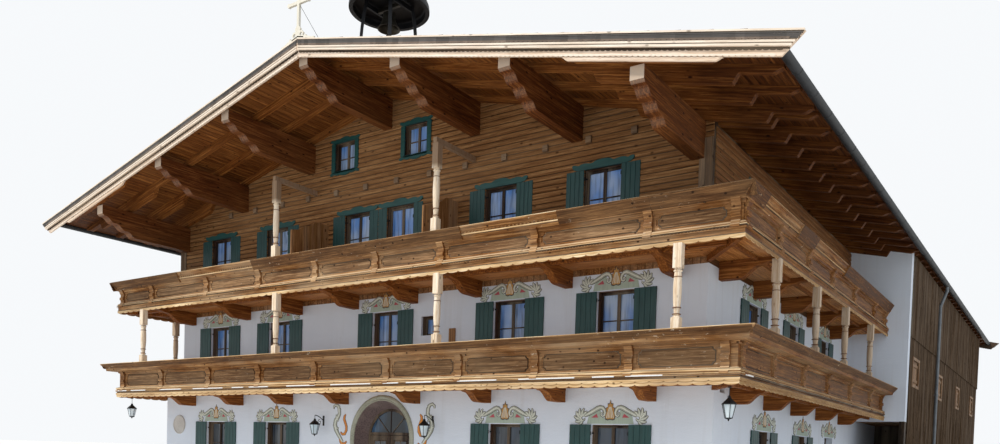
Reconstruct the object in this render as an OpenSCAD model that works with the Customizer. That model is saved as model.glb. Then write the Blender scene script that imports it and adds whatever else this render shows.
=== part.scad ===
// Alpine chalet: rendered lower storeys, a log storey under a wide low roof, two balconies and a barn behind.
// Millimetres. The origin is at ground level under the middle of the roof; the front gable faces -Y.

/* [Roof] */
// How far the eaves stand out past the barn's walls
eave_out = 400; // [340:10:430]
// Height of the roof's top face at the eaves
eave_z = 8413; // [8380:1:8450]
// Height of the ridge
ridge_z = 11120; // [11000:10:11400]
// How far the front verge stands in front of the rendered wall
front_overhang = 3300; // [3000:50:3600]
// How far the rear verge stands behind the barn's rear wall
rear_overhang = 2260; // [2000:20:2400]
// Thickness of the roof covering with its boards
cover_t = 100; // [80:5:140]
// Height of a rafter
rafter_h = 160; // [140:5:180]
// Width of a rafter
rafter_w = 140; // [100:5:160]
// Distance between rafters
rafter_pitch = 920; // [860:10:1000]
// Depth of the verge from the roof's top face down
verge_h = 400; // [360:10:440]
// How far the verge's tip stands out past the eaves
verge_reach = 390; // [340:10:430]
// Thickness of a verge board
verge_t = 45; // [35:5:60]
// Radius of the gutter
gutter_r = 95; // [80:5:100]
// Radius of a downpipe
pipe_r = 55; // [45:5:65]

/* [Purlins] */
// Width of a purlin
purlin_w = 280; // [240:10:320]
// Height of a purlin inside the house
purlin_h = 300; // [260:10:320]
// Depth of the carved bracket under each purlin at the wall
bracket_h = 460; // [400:10:500]
// Height of the timbers between the outermost purlins and the rafters
bolster_h = 200; // [160:5:220]

/* [Storeys] */
// Height of the inside ground floor
ground_floor_z = 150; // [100:10:200]
// Underside of the lower balcony's fascia
lower_balcony_z = 3000; // [2960:10:3040]
// Underside of the upper balcony's fascia
upper_balcony_z = 5700; // [5660:10:5740]
// Thickness of a balcony's deck
deck_t = 50; // [40:5:60]
// How far a balcony's fascia hangs below its deck
deck_drop = 100; // [80:5:120]
// Thickness of a floor
floor_t = 200; // [160:10:240]

/* [Walls] */
// Outside width of the first floor
house_w = 18000; // [17800:20:18200]
// How far the ground-floor wall stands out past the first-floor wall
plinth_out = 350; // [300:10:400]
// How far the log wall stands out past the rendered wall
log_out = 100; // [60:10:120]
// Thickness of the ground-floor wall
ground_t = 650; // [600:10:700]
// Thickness of the first-floor wall
render_t = 450; // [400:10:500]
// Thickness of the log wall
log_t = 180; // [150:5:200]
// Length of the dwelling from its front wall to the barn
dwelling_len = 12420; // [12200:20:12600]

/* [Barn] */
// Length of the barn
barn_len = 21320; // [21000:20:21600]
// How far the barn stands out past the dwelling on each side
barn_out = 1900; // [1800:20:2000]
// Thickness of the rendered return wall
return_t = 350; // [300:10:400]
// Thickness of a boarded wall
board_t = 160; // [120:10:200]
// How far the upper boards lap over the lower ones
lap_out = 40; // [30:5:50]
// Height of the seam between the lower and the upper boards
seam_z = 5720; // [5600:10:5800]
// Depth of the covered recess beside the dwelling
niche_len = 3600; // [3000:50:4200]
// Height of the barn windows' sills
barn_sill_z = 4220; // [4100:10:4300]
// Width of a barn window
barn_window_w = 1200; // [1000:10:1300]
// Height of a barn window
barn_window_h = 800; // [700:10:850]
// Distance between barn windows
barn_window_pitch = 5850; // [5700:10:5950]

/* [Windows] */
// Width of a window
window_w = 920; // [860:10:980]
// Height of a window
window_h = 1200; // [1100:10:1240]
// Height of a window's sill above its floor
sill_h = 910; // [860:10:960]
// Height of the attic windows' sills above the attic floor
attic_sill_h = 1025; // [980:5:1060]
// Size of a window frame's members
frame_w = 70; // [60:5:90]
// Thickness of a window frame
frame_t = 60; // [50:5:70]
// Thickness of the glass
glass_t = 20; // [16:2:24]
// Width of a shutter
shutter_w = 540; // [480:10:580]
// Thickness of a shutter
shutter_t = 40; // [30:5:50]

/* [Entrance] */
// Place of the entrance's middle
door_x = 250; // [150:10:350]
// Half of the arch's clear width at the door
arch_r = 800; // [780:10:820]
// Outer radius of the stone surround
portal_r = 1130; // [1100:10:1140]
// Height where the arch springs
spring_z = 1850; // [1840:5:1860]
// Thickness of a door leaf
leaf_t = 60; // [50:5:70]
// Height of a door leaf
leaf_h = 1780; // [1740:10:1800]
// Width of the door frame's members
door_frame_w = 70; // [60:5:80]
// Running gap round a door leaf
door_gap = 10; // [8:1:14]
// Radius of a hinge pin
pin_r = 12; // [10:1:14]
// Wall of a hinge knuckle
knuckle_wall = 8; // [6:1:10]
// Height of a hinge knuckle
knuckle_h = 120; // [100:10:140]
// Radial clearance of a hinge knuckle on its pin
pin_gap = 0.3; // [0.3:0.05:0.4]
// Place of the side door behind the rendered front wall
side_door_y = 9270; // [9200:10:9340]
// Width of the side doorway
side_door_w = 950; // [900:10:1000]
// Height of the side doorway
side_door_h = 2150; // [2100:10:2200]

/* [Balconies] */
// Distance from the rendered wall to the lower balcony's fascia
balcony_out = 1570; // [1500:10:1640]
// How far the side balconies reach past the rendered side wall
side_out = 1280; // [1240:10:1320]
// Height of the lower handrail above the fascia's underside
lower_rail_h = 1010; // [980:10:1040]
// Height of the upper handrail above the fascia's underside
upper_rail_h = 950; // [920:10:980]
// Overhang of the lower handrail
lower_rail_out = 370; // [330:10:390]
// Overhang of the upper handrail
upper_rail_out = 180; // [160:10:220]
// Thickness of a parapet panel
panel_t = 50; // [40:5:60]
// Width of a console beam
console_w = 200; // [180:5:220]
// Depth of a lower console beam at the wall
console_h = 350; // [320:10:380]
// Depth of an upper console beam at the wall
upper_console_h = 400; // [360:10:420]
// Height of the fascia board under the panels
fascia_h = 150; // [130:5:170]
// Thickness of the fascia board
fascia_t = 35; // [30:5:45]
// Width of a parapet's bracket post
bracket_w = 180; // [160:5:200]
// Radius of a turned post
post_r = 85; // [70:5:95]

/* [Bell turret] */
// Place of the turret behind the rendered front wall
turret_y = -200; // [-400:50:200]
// Radius of the turret's canopy
canopy_r = 1060; // [1000:10:1120]
// Height of the canopy's rim above the ridge
turret_h = 2010; // [1950:10:2050]
// Height of the canopy
canopy_h = 620; // [560:10:700]
// Radius of the turret's ring of posts
turret_r = 640; // [620:10:680]
// Radius of the bell's mouth
bell_r = 300; // [270:10:310]

/* [Hidden] */

larch = "#c08a4c";
weathered = "#8d6a45";
render_white = "#e9edf2";
shutter_green = "#1d4a42";
stone_grey = "#8d8482";
board_grey = "#7a6653";
iron_black = "#1f2123";
slate = "#4a3d33";

barn_w = house_w + 2 * barn_out;
roof_w = barn_w + 2 * eave_out;
roof_len = front_overhang + dwelling_len + barn_len + rear_overhang;
slope = (ridge_z - eave_z) / (roof_w / 2);
front_y = -roof_len / 2 + front_overhang;
roof_back = roof_len - front_overhang;
barn_end = dwelling_len + barn_len;
lower_deck_z = lower_balcony_z + deck_drop;
upper_deck_z = upper_balcony_z + deck_drop;
first_z = lower_deck_z + deck_t;
second_z = upper_deck_z + deck_t;
half_w = house_w / 2;
ground_half = half_w + plinth_out;
barn_half = barn_w / 2;
log_half = half_w + log_out / 2;
niche_end = dwelling_len + niche_len;
eps = 1;
far = 60000;

ground_window_x = [-6760, -3930, 4220, 7020];
first_window_x = [-7100, -4290, 4010, 6870];
first_door_x = -30;
second_window_x = [-6960, -4330, -1060, 3730, 6500];
second_door_x = 510;
attic_window_x = [-1585, 990];
ground_side_y = [3040, 6380];
first_side_y = [3040, 6380, 9720];
second_side_y = [3040, 6380, 9720];
lower_bay_x = [-7900, -5550, -3330, -1080, 1470, 3700, 5770, 8000];
upper_bay_x = [-8450, -5720, -3390, -1130, 1010, 3080, 5660, 8320];
corner_bay = half_w + side_out - 290;
side_bay_y = [700, 2990, 5250, 7730, 10400];
upper_box_x = [[-10500, -6920], [-3510, 3750], [6310, 10500]];
upper_box_y = [[-1750, -700], [1680, 2980], [6000, 12270]];
wall_board_x = 2285;
wall_board_w = 190;
post_x = [-8870, -2620, 3020, 8990];
side_post_y = [530, 3720, 6690, 9920];
free_post_x = [-2700, 2900];
screen_x = [-2200, 2420];
plate_x = log_half - log_t - purlin_w / 2;
purlin_x = [for (i = [0:3]) plate_x * i / 3];
side_wall_top = rafter_under(log_half) - bolster_h;
attic_z = purlin_top(3) - purlin_h;
bolster_in = plate_x - 1430;
bolster_out = plate_x + 1550;
small_window_x = 1470;
small_window_w = 470;
small_window_h = 500;
small_sill_z = first_z + 1400;
second_sill_z = second_z + sill_h + 35;
attic_sill_z = attic_z + attic_sill_h;
attic_window_w = 750;
attic_window_h = 780;
balcony_door_h = sill_h + window_h - 50;
upper_door_h = second_sill_z + window_h - second_z - 50;

ground_top = first_z - floor_t;
ground_sill_z = ground_floor_z + 900;
side_door_top = ground_floor_z + side_door_h;
portal_face = 130;
reveal = 180;
log_reveal = 110;
hinge_in = 5;
seat_gap = 0.3;
hinge_y = leaf_t + pin_r + knuckle_wall + 1;
hinge_z = [ground_floor_z + 250, ground_floor_z + leaf_h - 400];
pin_seat = 30;
pipe_y = dwelling_len + 5910;
pipe_stand = 20;
hood_depth = 180;
bell_axle_z = turret_h + 90;
bell_drop = 570;
board_gap = 20;
threshold = 50;
plaque_x = -8650;
plaque_z = 2150;
plaque_r = 300;
plaque_t = 30;
lantern_z = 2440;
lantern_h = 520;
lantern_reach = 330;
corner_lantern_z = 2360;
pipe_bend = 150;
pipe_neck = 550;
pipe_clip_z = [1500, 4200, 6900];
pipe_clip_h = 40;
joist_w = 100;
joist_h = 130;
parapet_in = panel_t + 60;
panel_in = 60;
rail_w = 185;
trough_depth = 120;
trough_wall = 25;
axle_r = 15;
strap_len = 220;
barn_first_y = dwelling_len + 1480;
beam_z = 8720;
rafter_end = roof_w / 2 - 240;
gutter_z = roof_top(roof_w / 2 - gutter_r) - cover_t - 4;

// Heights of the roof at a distance from the ridge
function roof_top(x) = ridge_z - slope * abs(x);
function cover_under(x) = roof_top(x) - cover_t;
function rafter_under(x) = cover_under(x) - rafter_h;
// A purlin's top, to a tenth of a millimetre
function purlin_top(i) = floor(10 * rafter_under(purlin_x[i] + purlin_w / 2)) / 10 - (i == 3 ? bolster_h : 0);
// Points of an arc about c, and of an S-curve from p that falls by drop over run
function arc(c, r, a0, a1, n = 6) =
    [for (i = [0:n]) let (a = a0 + (a1 - a0) * i / n) [c[0] + r * cos(a), c[1] + r * sin(a)]];
function s_curve(p, run, drop, n = 6) =
    [for (i = [0:n]) [p[0] + run * i / n, p[1] - drop * (1 - cos(180 * i / n)) / 2]];

module block(low, high) translate(low) cube(high - low);
module from_front() translate([0, front_y, 0]) children();
module both_sides() { children(); mirror([1, 0, 0]) children(); }
// A flat outline in X and Z, extruded back from y
module upright(y, t) translate([0, y + t, 0]) rotate([90, 0, 0]) linear_extrude(t) children();
// A flat outline in Y and Z, extruded along X from x
module sideways(x, t) translate([x, 0, 0]) rotate([90, 0, 90]) linear_extrude(t) children();

module window_hole(x, z, w = window_w, h = window_h) block([x - w / 2, -far / 4, z], [x + w / 2, 0, z + h]);
module side_hole(y, z, w = window_w, h = window_h) block([0, y - w / 2, z], [far / 4, y + w / 2, z + h]);

// Ground floor walls, with a ledge that carries the lower balcony
module ground_front_block(x0, x1) {
    block([x0, -plinth_out, 0], [x1, ground_t - plinth_out, ground_top]);
    block([x0, -plinth_out, 0], [x1, 0, lower_deck_z]);
}
module ground_wall(x0, x1) {
    color(render_white) from_front() difference() {
        ground_front_block(x0, x1);
        for (x = ground_window_x) translate([0, ground_t, 0]) window_hole(x, ground_sill_z);
    }
}
module ground_wall_left() { ground_wall(-ground_half, door_x - portal_r); }
module ground_wall_right() { ground_wall(door_x + portal_r, ground_half); }
module ground_walls_over_doors() {
    color(render_white) from_front() {
        difference() {
            intersection() {
                ground_front_block(door_x - portal_r, door_x + portal_r);
                block([-far, -far, spring_z], [far, far, far]);
            }
            translate([door_x, far / 4, spring_z]) rotate([90, 0, 0]) cylinder(r = portal_r, h = far / 2, $fn = 64);
        }
        ground_side_block(side_door_y - side_door_w / 2, side_door_y + side_door_w / 2, side_door_top);
    }
}
// A stretch of the ground-floor side wall from y0 to y1, with the same ledge
module ground_side_block(y0, y1, z0 = 0) {
    block([ground_half - ground_t, y0, z0], [ground_half, y1, ground_top]);
    block([half_w, y0, z0], [ground_half, min(y1, dwelling_len), lower_deck_z]);
}
module ground_side_wall_left() {
    color(render_white) from_front() mirror([1, 0, 0]) difference() {
        ground_side_block(ground_t - plinth_out, niche_end);
        for (y = concat(ground_side_y, [side_door_y])) side_hole(y, ground_sill_z);
    }
}
module ground_side_wall_front() {
    color(render_white) from_front() difference() {
        ground_side_block(ground_t - plinth_out, side_door_y - side_door_w / 2);
        for (y = ground_side_y) side_hole(y, ground_sill_z);
    }
}
module ground_side_wall_rear() {
    color(render_white) from_front() ground_side_block(side_door_y + side_door_w / 2, niche_end);
}

// The arched stone surround of the entrance, splayed inwards
module arch_outline(r) {
    intersection() {
        union() {
            translate([0, spring_z]) circle(r = r, $fn = 64);
            translate([-r, 0]) square([2 * r, spring_z]);
        }
        translate([-far, 0]) square([2 * far, far]);
    }
}
module door_portal() {
    splay_r = portal_r - portal_face;
    color(stone_grey) from_front() translate([door_x, -plinth_out, 0]) difference() {
        upright(0, plinth_out) arch_outline(portal_r);
        translate([0, 0, spring_z]) rotate([-90, 0, 0])
            cylinder(r1 = splay_r, r2 = arch_r, h = plinth_out, $fn = 64);
        translate([0, 0, -eps]) linear_extrude(spring_z + eps) splay_plan();
    }
}
module splay_plan() {
    splay_r = portal_r - portal_face;
    polygon([[-splay_r, 0], [splay_r, 0], [arch_r, plinth_out], [-arch_r, plinth_out]]);
}

// Hinge pins stand on the frame, and the leaf's knuckles turn on them
module hinge_pins(half) {
    for (z = hinge_z) translate([half + hinge_in, hinge_y, z]) {
        cylinder(r = pin_r, h = knuckle_h + pin_gap, $fn = 24);
        translate([0, 0, -pin_seat]) cylinder(r = pin_r + knuckle_wall, h = pin_seat, $fn = 24);
        translate([0, leaf_t - hinge_y, -pin_seat]) cube([door_frame_w - 2 * hinge_in, hinge_y - leaf_t, pin_seat]);
    }
}
module leaf_knuckles(half) {
    for (z = hinge_z) translate([half + hinge_in, hinge_y, z + pin_gap]) difference() {
        union() {
            cylinder(r = pin_r + knuckle_wall, h = knuckle_h, $fn = 24);
            block([-strap_len, leaf_t - hinge_y, 0], [0, 0, knuckle_h]);
        }
        translate([0, 0, -eps]) cylinder(r = pin_r + pin_gap, h = knuckle_h + 2 * eps, $fn = 24);
    }
}
// A leaf from x0 to its hinge side at half, its outer face at depth 0, with two sunk panels
module door_leaf(x0, half, top) {
    x1 = half - door_gap;
    rail = 130;
    lock_z = 950;
    difference() {
        block([x0, 0, ground_floor_z + door_gap], [x1, leaf_t, top]);
        block([x0 + rail, -eps, lock_z], [x1 - rail, 20, top - rail]);
        block([x0 + rail, -eps, ground_floor_z + rail], [x1 - rail, 20, lock_z - rail]);
    }
    leaf_knuckles(half);
}
module front_leaf() {
    door_leaf(door_gap / 2, arch_r - door_frame_w, ground_floor_z + leaf_h);
}
module at_side_door() { translate([ground_half - reveal, side_door_y, 0]) rotate([0, 0, 90]) children(); }
module door_frames() {
    inner = arch_r - door_frame_w;
    leaf_top = ground_floor_z + leaf_h + door_gap;
    side_inner = side_door_w / 2 - door_frame_w;
    color(weathered) from_front() {
        translate([door_x, 0, 0]) {
            upright(0, leaf_t) difference() {
                intersection() {
                    arch_outline(portal_r);
                    translate([-far, 0]) square([2 * far, ground_top]);
                }
                translate([-inner, -eps]) square([2 * inner, leaf_top + eps]);
                intersection() {
                    arch_outline(inner);
                    translate([-far, leaf_top + door_frame_w]) square([2 * far, far]);
                }
            }
            both_sides() hinge_pins(inner);
        }
        at_side_door() {
            upright(0, leaf_t) difference() {
                translate([-side_door_w / 2, 0]) square([side_door_w, side_door_top]);
                translate([-side_inner, -eps]) square([2 * side_inner, side_door_top - door_frame_w + eps]);
            }
            mirror([1, 0, 0]) hinge_pins(side_inner);
        }
    }
}
module door_leaf_right() { color(weathered) from_front() translate([door_x, 0, 0]) front_leaf(); }
module door_leaf_left() {
    color(weathered) from_front() translate([door_x, 0, 0]) mirror([1, 0, 0]) front_leaf();
}
module side_door_leaf() {
    inner = side_door_w / 2 - door_frame_w;
    color(weathered) from_front() at_side_door() mirror([1, 0, 0])
        door_leaf(-inner + door_gap, inner, side_door_top - door_frame_w - door_gap);
}

// Floors
module ground_floor() {
    color(stone_grey) from_front() {
        block([-ground_half + ground_t, ground_t - plinth_out, 0],
              [ground_half - ground_t, barn_end - board_t, ground_floor_z]);
        both_sides() block([ground_half - ground_t, niche_end + board_t, 0],
            [barn_half - board_t, barn_end - board_t, ground_floor_z]);
        translate([door_x, -plinth_out, 0]) linear_extrude(ground_floor_z) splay_plan();
        block([door_x - arch_r + door_frame_w, 0, 0], [door_x + arch_r - door_frame_w, leaf_t, ground_floor_z]);
        block([door_x - portal_r, leaf_t, 0], [door_x + portal_r, ground_t - plinth_out, ground_floor_z]);
        at_side_door() {
            half = side_door_w / 2;
            block([-half, -reveal, 0], [half, 0, ground_floor_z]);
            block([-half + door_frame_w, 0, 0], [half - door_frame_w, leaf_t, ground_floor_z]);
            block([-half, leaf_t, 0], [half, ground_t - reveal, ground_floor_z]);
        }
    }
}
module first_floor() {
    z0 = first_z - floor_t;
    color(larch) from_front() {
        block([-half_w, 0, z0], [half_w, dwelling_len + return_t, first_z]);
        block([-barn_half + board_t, dwelling_len + return_t, z0],
              [barn_half - board_t, barn_end - board_t, first_z]);
    }
}
module second_floor() {
    color(larch) from_front() block([-half_w, 0, second_z - floor_t], [half_w, dwelling_len, second_z]);
}
module attic_floor() {
    color(larch) from_front()
        block([-log_half + log_t, log_t - log_out, attic_z - floor_t], [log_half - log_t, dwelling_len, attic_z]);
}

// First floor
module first_front_wall() {
    color(render_white) from_front() difference() {
        block([-half_w, 0, first_z], [half_w, render_t, second_z - floor_t]);
        translate([0, far / 8, 0]) {
            for (x = first_window_x) window_hole(x, first_z + sill_h);
            window_hole(first_door_x, first_z + threshold, window_w, balcony_door_h);
        }
        translate([0, far / 8, 0]) window_hole(small_window_x, small_sill_z, small_window_w, small_window_h);
    }
}
module first_side_walls() {
    color(render_white) from_front() both_sides() difference() {
        block([half_w - render_t, render_t, first_z], [half_w, dwelling_len, second_z - floor_t]);
        for (y = first_side_y) side_hole(y, first_z + sill_h);
    }
}

// Log storey with its gable
module purlin_notches() {
    for (i = [0:3]) both_sides() translate([purlin_x[i] - purlin_w / 2, purlin_top(i) - purlin_h])
        square([purlin_w, purlin_h + seat_gap]);
}
module gable_outline(half, z0) {
    difference() {
        polygon([[-half, z0], [half, z0], [half, cover_under(half) - seat_gap], [0, cover_under(0) - seat_gap],
                 [-half, cover_under(half) - seat_gap]]);
        purlin_notches();
    }
}
module log_front_wall() {
    color(weathered) from_front() difference() {
        upright(-log_out, log_t) gable_outline(log_half, second_z);
        translate([0, far / 8, 0]) {
            for (x = second_window_x) window_hole(x, second_sill_z);
            window_hole(second_door_x, second_z + threshold, window_w, upper_door_h);
            for (x = attic_window_x) window_hole(x, attic_sill_z, attic_window_w, attic_window_h);
        }
    }
}
module log_side_walls() {
    color(weathered) from_front() both_sides() difference() {
        block([log_half - log_t, log_t - log_out, second_z], [log_half, dwelling_len, side_wall_top]);
        for (y = second_side_y) side_hole(y, second_sill_z);
    }
}

// Rendered walls where the dwelling meets the wider barn
module return_walls() {
    color(render_white) from_front() both_sides() upright(dwelling_len, return_t) difference() {
        polygon([[half_w - render_t, first_z], [ground_half, first_z], [ground_half, first_z - floor_t],
                 [barn_half, first_z - floor_t], [barn_half, cover_under(barn_half) - seat_gap],
                 [half_w - render_t, cover_under(half_w - render_t) - seat_gap]]);
        purlin_notches();
        translate([0, first_z - floor_t]) square([half_w, floor_t]);
    }
}
module barn_lower_walls() {
    x0 = barn_half - board_t;
    color(board_grey) from_front() both_sides() {
        difference() {
            union() {
                block([x0, dwelling_len, 0], [barn_half, barn_end, first_z - floor_t]);
                block([x0, dwelling_len + return_t, 0], [barn_half, barn_end, seam_z]);
            }
            for (i = [0:3]) side_hole(barn_first_y + i * barn_window_pitch, barn_sill_z, barn_window_w, barn_window_h);
        }
        block([ground_half - ground_t, niche_end, 0], [x0 - seat_gap, niche_end + board_t, ground_top]);
    }
}
module barn_upper_walls() {
    color(board_grey) from_front() both_sides() sideways_wall();
}
module sideways_wall() {
    x0 = barn_half - board_t + lap_out;
    upright(dwelling_len + return_t, barn_len - return_t)
        polygon([[x0, seam_z], [barn_half + lap_out, seam_z], [barn_half + lap_out, rafter_under(barn_half + lap_out)],
                 [x0, rafter_under(x0)]]);
}
module barn_rear_wall() {
    x0 = barn_half - board_t;
    color(board_grey) from_front() difference() {
        block([-x0, barn_end - board_t, 0], [x0, barn_end, seam_z]);
        for (x = [-1, 1]) for (k = [0.5, 1.5]) translate([0, far, 0])
            block([x * k * barn_window_pitch - barn_window_w / 2, -far, barn_sill_z],
                  [x * k * barn_window_pitch + barn_window_w / 2, 0, barn_sill_z + barn_window_h]);
    }
}
module barn_rear_gable() {
    x0 = barn_half - board_t + lap_out;
    color(board_grey) from_front() upright(barn_end - board_t + lap_out, board_t) gable_outline(x0, seam_z);
}

// Windows: a frame with its glass, set back in the wall
module casement(w, h) {
    difference() {
        square([w, h], center = true);
        square([w - 2 * frame_w, h - 2 * frame_w], center = true);
    }
    square([frame_w, h], center = true);
}
module window_unit(x, z, y, w = window_w, h = window_h) {
    translate([x, 0, z + h / 2]) {
        upright(y, frame_t) casement(w, h);
        upright(y + (frame_t - glass_t) / 2, glass_t) square([w, h], center = true);
    }
}
module side_window_unit(y, z, x, w = window_w, h = window_h) {
    translate([x, y, 0]) rotate([0, 0, 90]) window_unit(0, z, 0, w, h);
}
module windows() {
    color(weathered) from_front() {
        for (x = ground_window_x) window_unit(x, ground_sill_z, reveal - plinth_out);
        both_sides() for (y = ground_side_y) side_window_unit(y, ground_sill_z, ground_half - reveal);
        mirror([1, 0, 0]) side_window_unit(side_door_y, ground_sill_z, ground_half - reveal);
        for (x = first_window_x) window_unit(x, first_z + sill_h, reveal);
        window_unit(first_door_x, first_z + threshold, reveal, window_w, balcony_door_h);
        window_unit(small_window_x, small_sill_z, reveal, small_window_w, small_window_h);
        both_sides() for (y = first_side_y) side_window_unit(y, first_z + sill_h, half_w - reveal);
        for (x = second_window_x) window_unit(x, second_sill_z, log_reveal - log_out);
        window_unit(second_door_x, second_z + threshold, log_reveal - log_out, window_w, upper_door_h);
        for (x = attic_window_x)
            window_unit(x, attic_sill_z, log_reveal - log_out, attic_window_w, attic_window_h);
        both_sides() for (y = second_side_y) side_window_unit(y, second_sill_z, log_half - log_reveal);
    }
}
module barn_windows() {
    color(larch) from_front() {
        both_sides() for (i = [0:3])
            translate([barn_half - board_t / 2, barn_first_y + i * barn_window_pitch, barn_sill_z + barn_window_h / 2])
                cube([frame_t, barn_window_w, barn_window_h], center = true);
        for (x = [-1, 1]) for (k = [0.5, 1.5])
            translate([x * k * barn_window_pitch, barn_end - board_t / 2, barn_sill_z + barn_window_h / 2])
                cube([barn_window_w, frame_t, barn_window_h], center = true);
    }
}

// Shutters stand open against the wall on both sides of a window
module shutter_pair(x, z, y, w = [shutter_w, shutter_w], h = window_h) {
    for (i = [0, 1]) {
        x0 = x + (2 * i - 1) * (window_w + w[i]) / 2;
        block([x0 - w[i] / 2 + 5, y - shutter_t, z], [x0 + w[i] / 2 - 5, y, z + h]);
    }
}
module side_shutter_pair(y, z, x) { translate([x, y, 0]) rotate([0, 0, 90]) shutter_pair(0, z, 0); }
module shutters() {
    wide = 0.87 * shutter_w;
    narrow = (second_door_x - second_window_x[2] - window_w) / 2 - 1;
    color(shutter_green) from_front() {
        for (x = ground_window_x) shutter_pair(x, ground_sill_z, -plinth_out);
        both_sides() for (y = ground_side_y) side_shutter_pair(y, ground_sill_z, ground_half);
        mirror([1, 0, 0]) side_shutter_pair(side_door_y, ground_sill_z, ground_half);
        for (x = first_window_x) shutter_pair(x, first_z + sill_h, 0);
        shutter_pair(first_door_x, first_z + threshold, 0, h = balcony_door_h);
        both_sides() for (y = first_side_y) side_shutter_pair(y, first_z + sill_h, half_w);
        for (i = [0:4]) shutter_pair(second_window_x[i], second_sill_z, -log_out, [wide, i == 2 ? narrow : wide]);
        shutter_pair(second_door_x, second_z + threshold, -log_out, [narrow, narrow], upper_door_h);
        both_sides() for (y = second_side_y) side_shutter_pair(y, second_sill_z, log_half);
    }
}
// A carved board with an ogee at each end, a dip beside it and a low hump in the middle
module carved_board(w, h) {
    half = concat(s_curve([w / 2 - 0.9 * h, 0], 0.8 * h, -0.55 * h, 4), [[w / 2, 0.8 * h]],
        s_curve([w / 2 - 0.3 * h, 0.85 * h], -1.1 * h, 0.2 * h, 4),
        s_curve([w / 2 - 1.9 * h, 0.65 * h], -1.2 * h, -0.35 * h, 4));
    polygon(concat(half, [for (i = [len(half) - 1:-1:0]) [-half[i][0], half[i][1]]]));
}
module carved_lintels() {
    lintel_w = second_door_x - second_window_x[2] - 10;
    lintel_h = 190;
    lintel_t = 50;
    side_w = 140;
    attic_w = attic_window_w + 2 * side_w + 90;
    color(shutter_green) from_front() {
        for (x = concat(second_window_x, [second_door_x]))
            translate([x, 0, second_sill_z + window_h + board_gap]) upright(-log_out - lintel_t, lintel_t)
                carved_board(lintel_w, lintel_h);
        for (x = attic_window_x) translate([x, 0, attic_sill_z]) upright(-log_out - lintel_t, lintel_t) {
            translate([0, attic_window_h]) carved_board(attic_w, side_w);
            mirror([0, 1]) carved_board(attic_w, side_w);
            for (s = [-1, 1]) translate([s * (attic_window_w + side_w) / 2 - side_w / 2, 0])
                square([side_w, attic_window_h]);
        }
    }
}

// Balconies
module balcony_deck(z) {
    out = balcony_out - parapet_in;
    side = half_w + side_out - parapet_in;
    from_front() {
        block([-side, -out, z], [side, 0, z + deck_t]);
        both_sides() block([half_w, 0, z], [side, dwelling_len, z + deck_t]);
    }
}
module balcony_decks() {
    color(larch) {
        balcony_deck(lower_deck_z);
        balcony_deck(upper_deck_z);
    }
}

// A parapet's section: the distance out from the fascia's face, and the height over its lower edge
function parapet_foot(rail_h) = [
    [-parapet_in, deck_drop], [-fascia_t, deck_drop], [-fascia_t, 0], [0, 0], [0, fascia_h],
    [fascia_t, fascia_h + 5], [fascia_t, fascia_h + 20], [0, fascia_h + 30], [15, fascia_h + 100],
    [-10, fascia_h + 135], [-panel_in, fascia_h + 150]
];
// The lower one carries a sloped flower box
function lower_section(h, out) = concat(parapet_foot(h), [
    [-panel_in, h - 275], [-20, h - 260], [-20, h - 225], [out - 135, h - 210], [out - 120, h - 145],
    [out, h - 20], [out, h], [-parapet_in, h]
]);
// The upper one has a cornice of several mouldings
function upper_section(h, out) = concat(parapet_foot(h), [[-panel_in, h - 320], [-20, h - 315], [-20, h - 250]],
    [for (p = s_curve([0, h - 245], 55, -60, 4)) p],
    [[70, h - 180], [70, h - 150], [60, h - 147], [60, h - 110]],
    arc([out - 115, h - 30], 65, -80, 0, 5), [[out - 30, h - 30], [out - 30, h], [-parapet_in, h]]);

// A bracket post of a parapet, with a curved foot and cap and a block in the middle
module bracket_post(x, top) {
    foot = fascia_h + 25;
    mid = (foot + top) / 2;
    pts = concat([[-panel_in - 5, foot], [45, foot]], s_curve([45, foot + 45], -60, -90),
        [[-15, mid - 45], [20, mid - 40], [20, mid + 40], [-15, mid + 45]],
        s_curve([-15, top - 130], 75, -110), [[60, top + 5], [-panel_in - 5, top + 5]]);
    sideways(x - bracket_w / 2, bracket_w) polygon([for (p = pts) [-p[0], p[1]]]);
}
// A sunk panel with its corners cut round, and the trough of the flower box above it
module panel_cut(x0, x1, z0, z1) {
    corner_r = 70;
    depth = 20;
    upright(panel_in - eps, depth + eps) difference() {
        translate([x0, z0]) square([x1 - x0, z1 - z0]);
        for (x = [x0, x1]) for (z = [z0, z1]) translate([x, z]) circle(r = corner_r, $fn = 24);
    }
}
module trough(x0, x1, rail_h, rail_out) {
    block([x0, trough_wall - rail_out, rail_h - trough_depth], [x1, parapet_in - rail_w, rail_h + eps]);
}
// The upper parapet's flower boxes stand out over its cornice
module upper_box(x0, x1) {
    h = upper_rail_h;
    sideways(x0, x1 - x0) polygon([[0, h - 260], [-40, h - 260], [-upper_rail_out, h - 20], [-upper_rail_out, h], [0, h]]);
}
// A run of parapet along X from x0 to x1 with its posts, seen from in front
module lower_run(x0, x1, posts) {
    difference() {
        union() {
            sideways(x0, x1 - x0) polygon([for (p = lower_section(lower_rail_h, lower_rail_out)) [-p[0], p[1]]]);
            for (x = posts) bracket_post(x, lower_rail_h - 220);
        }
        bays(posts, fascia_h + 190, lower_rail_h - 310);
        for (i = [0:len(posts) - 2])
            trough(posts[i] + trough_wall, posts[i + 1] - trough_wall, lower_rail_h, lower_rail_out);
    }
}
module upper_run(x0, x1, posts, boxes) {
    difference() {
        union() {
            sideways(x0, x1 - x0) polygon([for (p = upper_section(upper_rail_h, upper_rail_out)) [-p[0], p[1]]]);
            for (x = posts) bracket_post(x, upper_rail_h - 250);
            for (b = boxes) upper_box(b[0], b[1]);
        }
        bays(posts, fascia_h + 190, upper_rail_h - 350);
        for (b = boxes) trough(b[0] + trough_wall, b[1] - trough_wall, upper_rail_h, upper_rail_out);
    }
}
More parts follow.
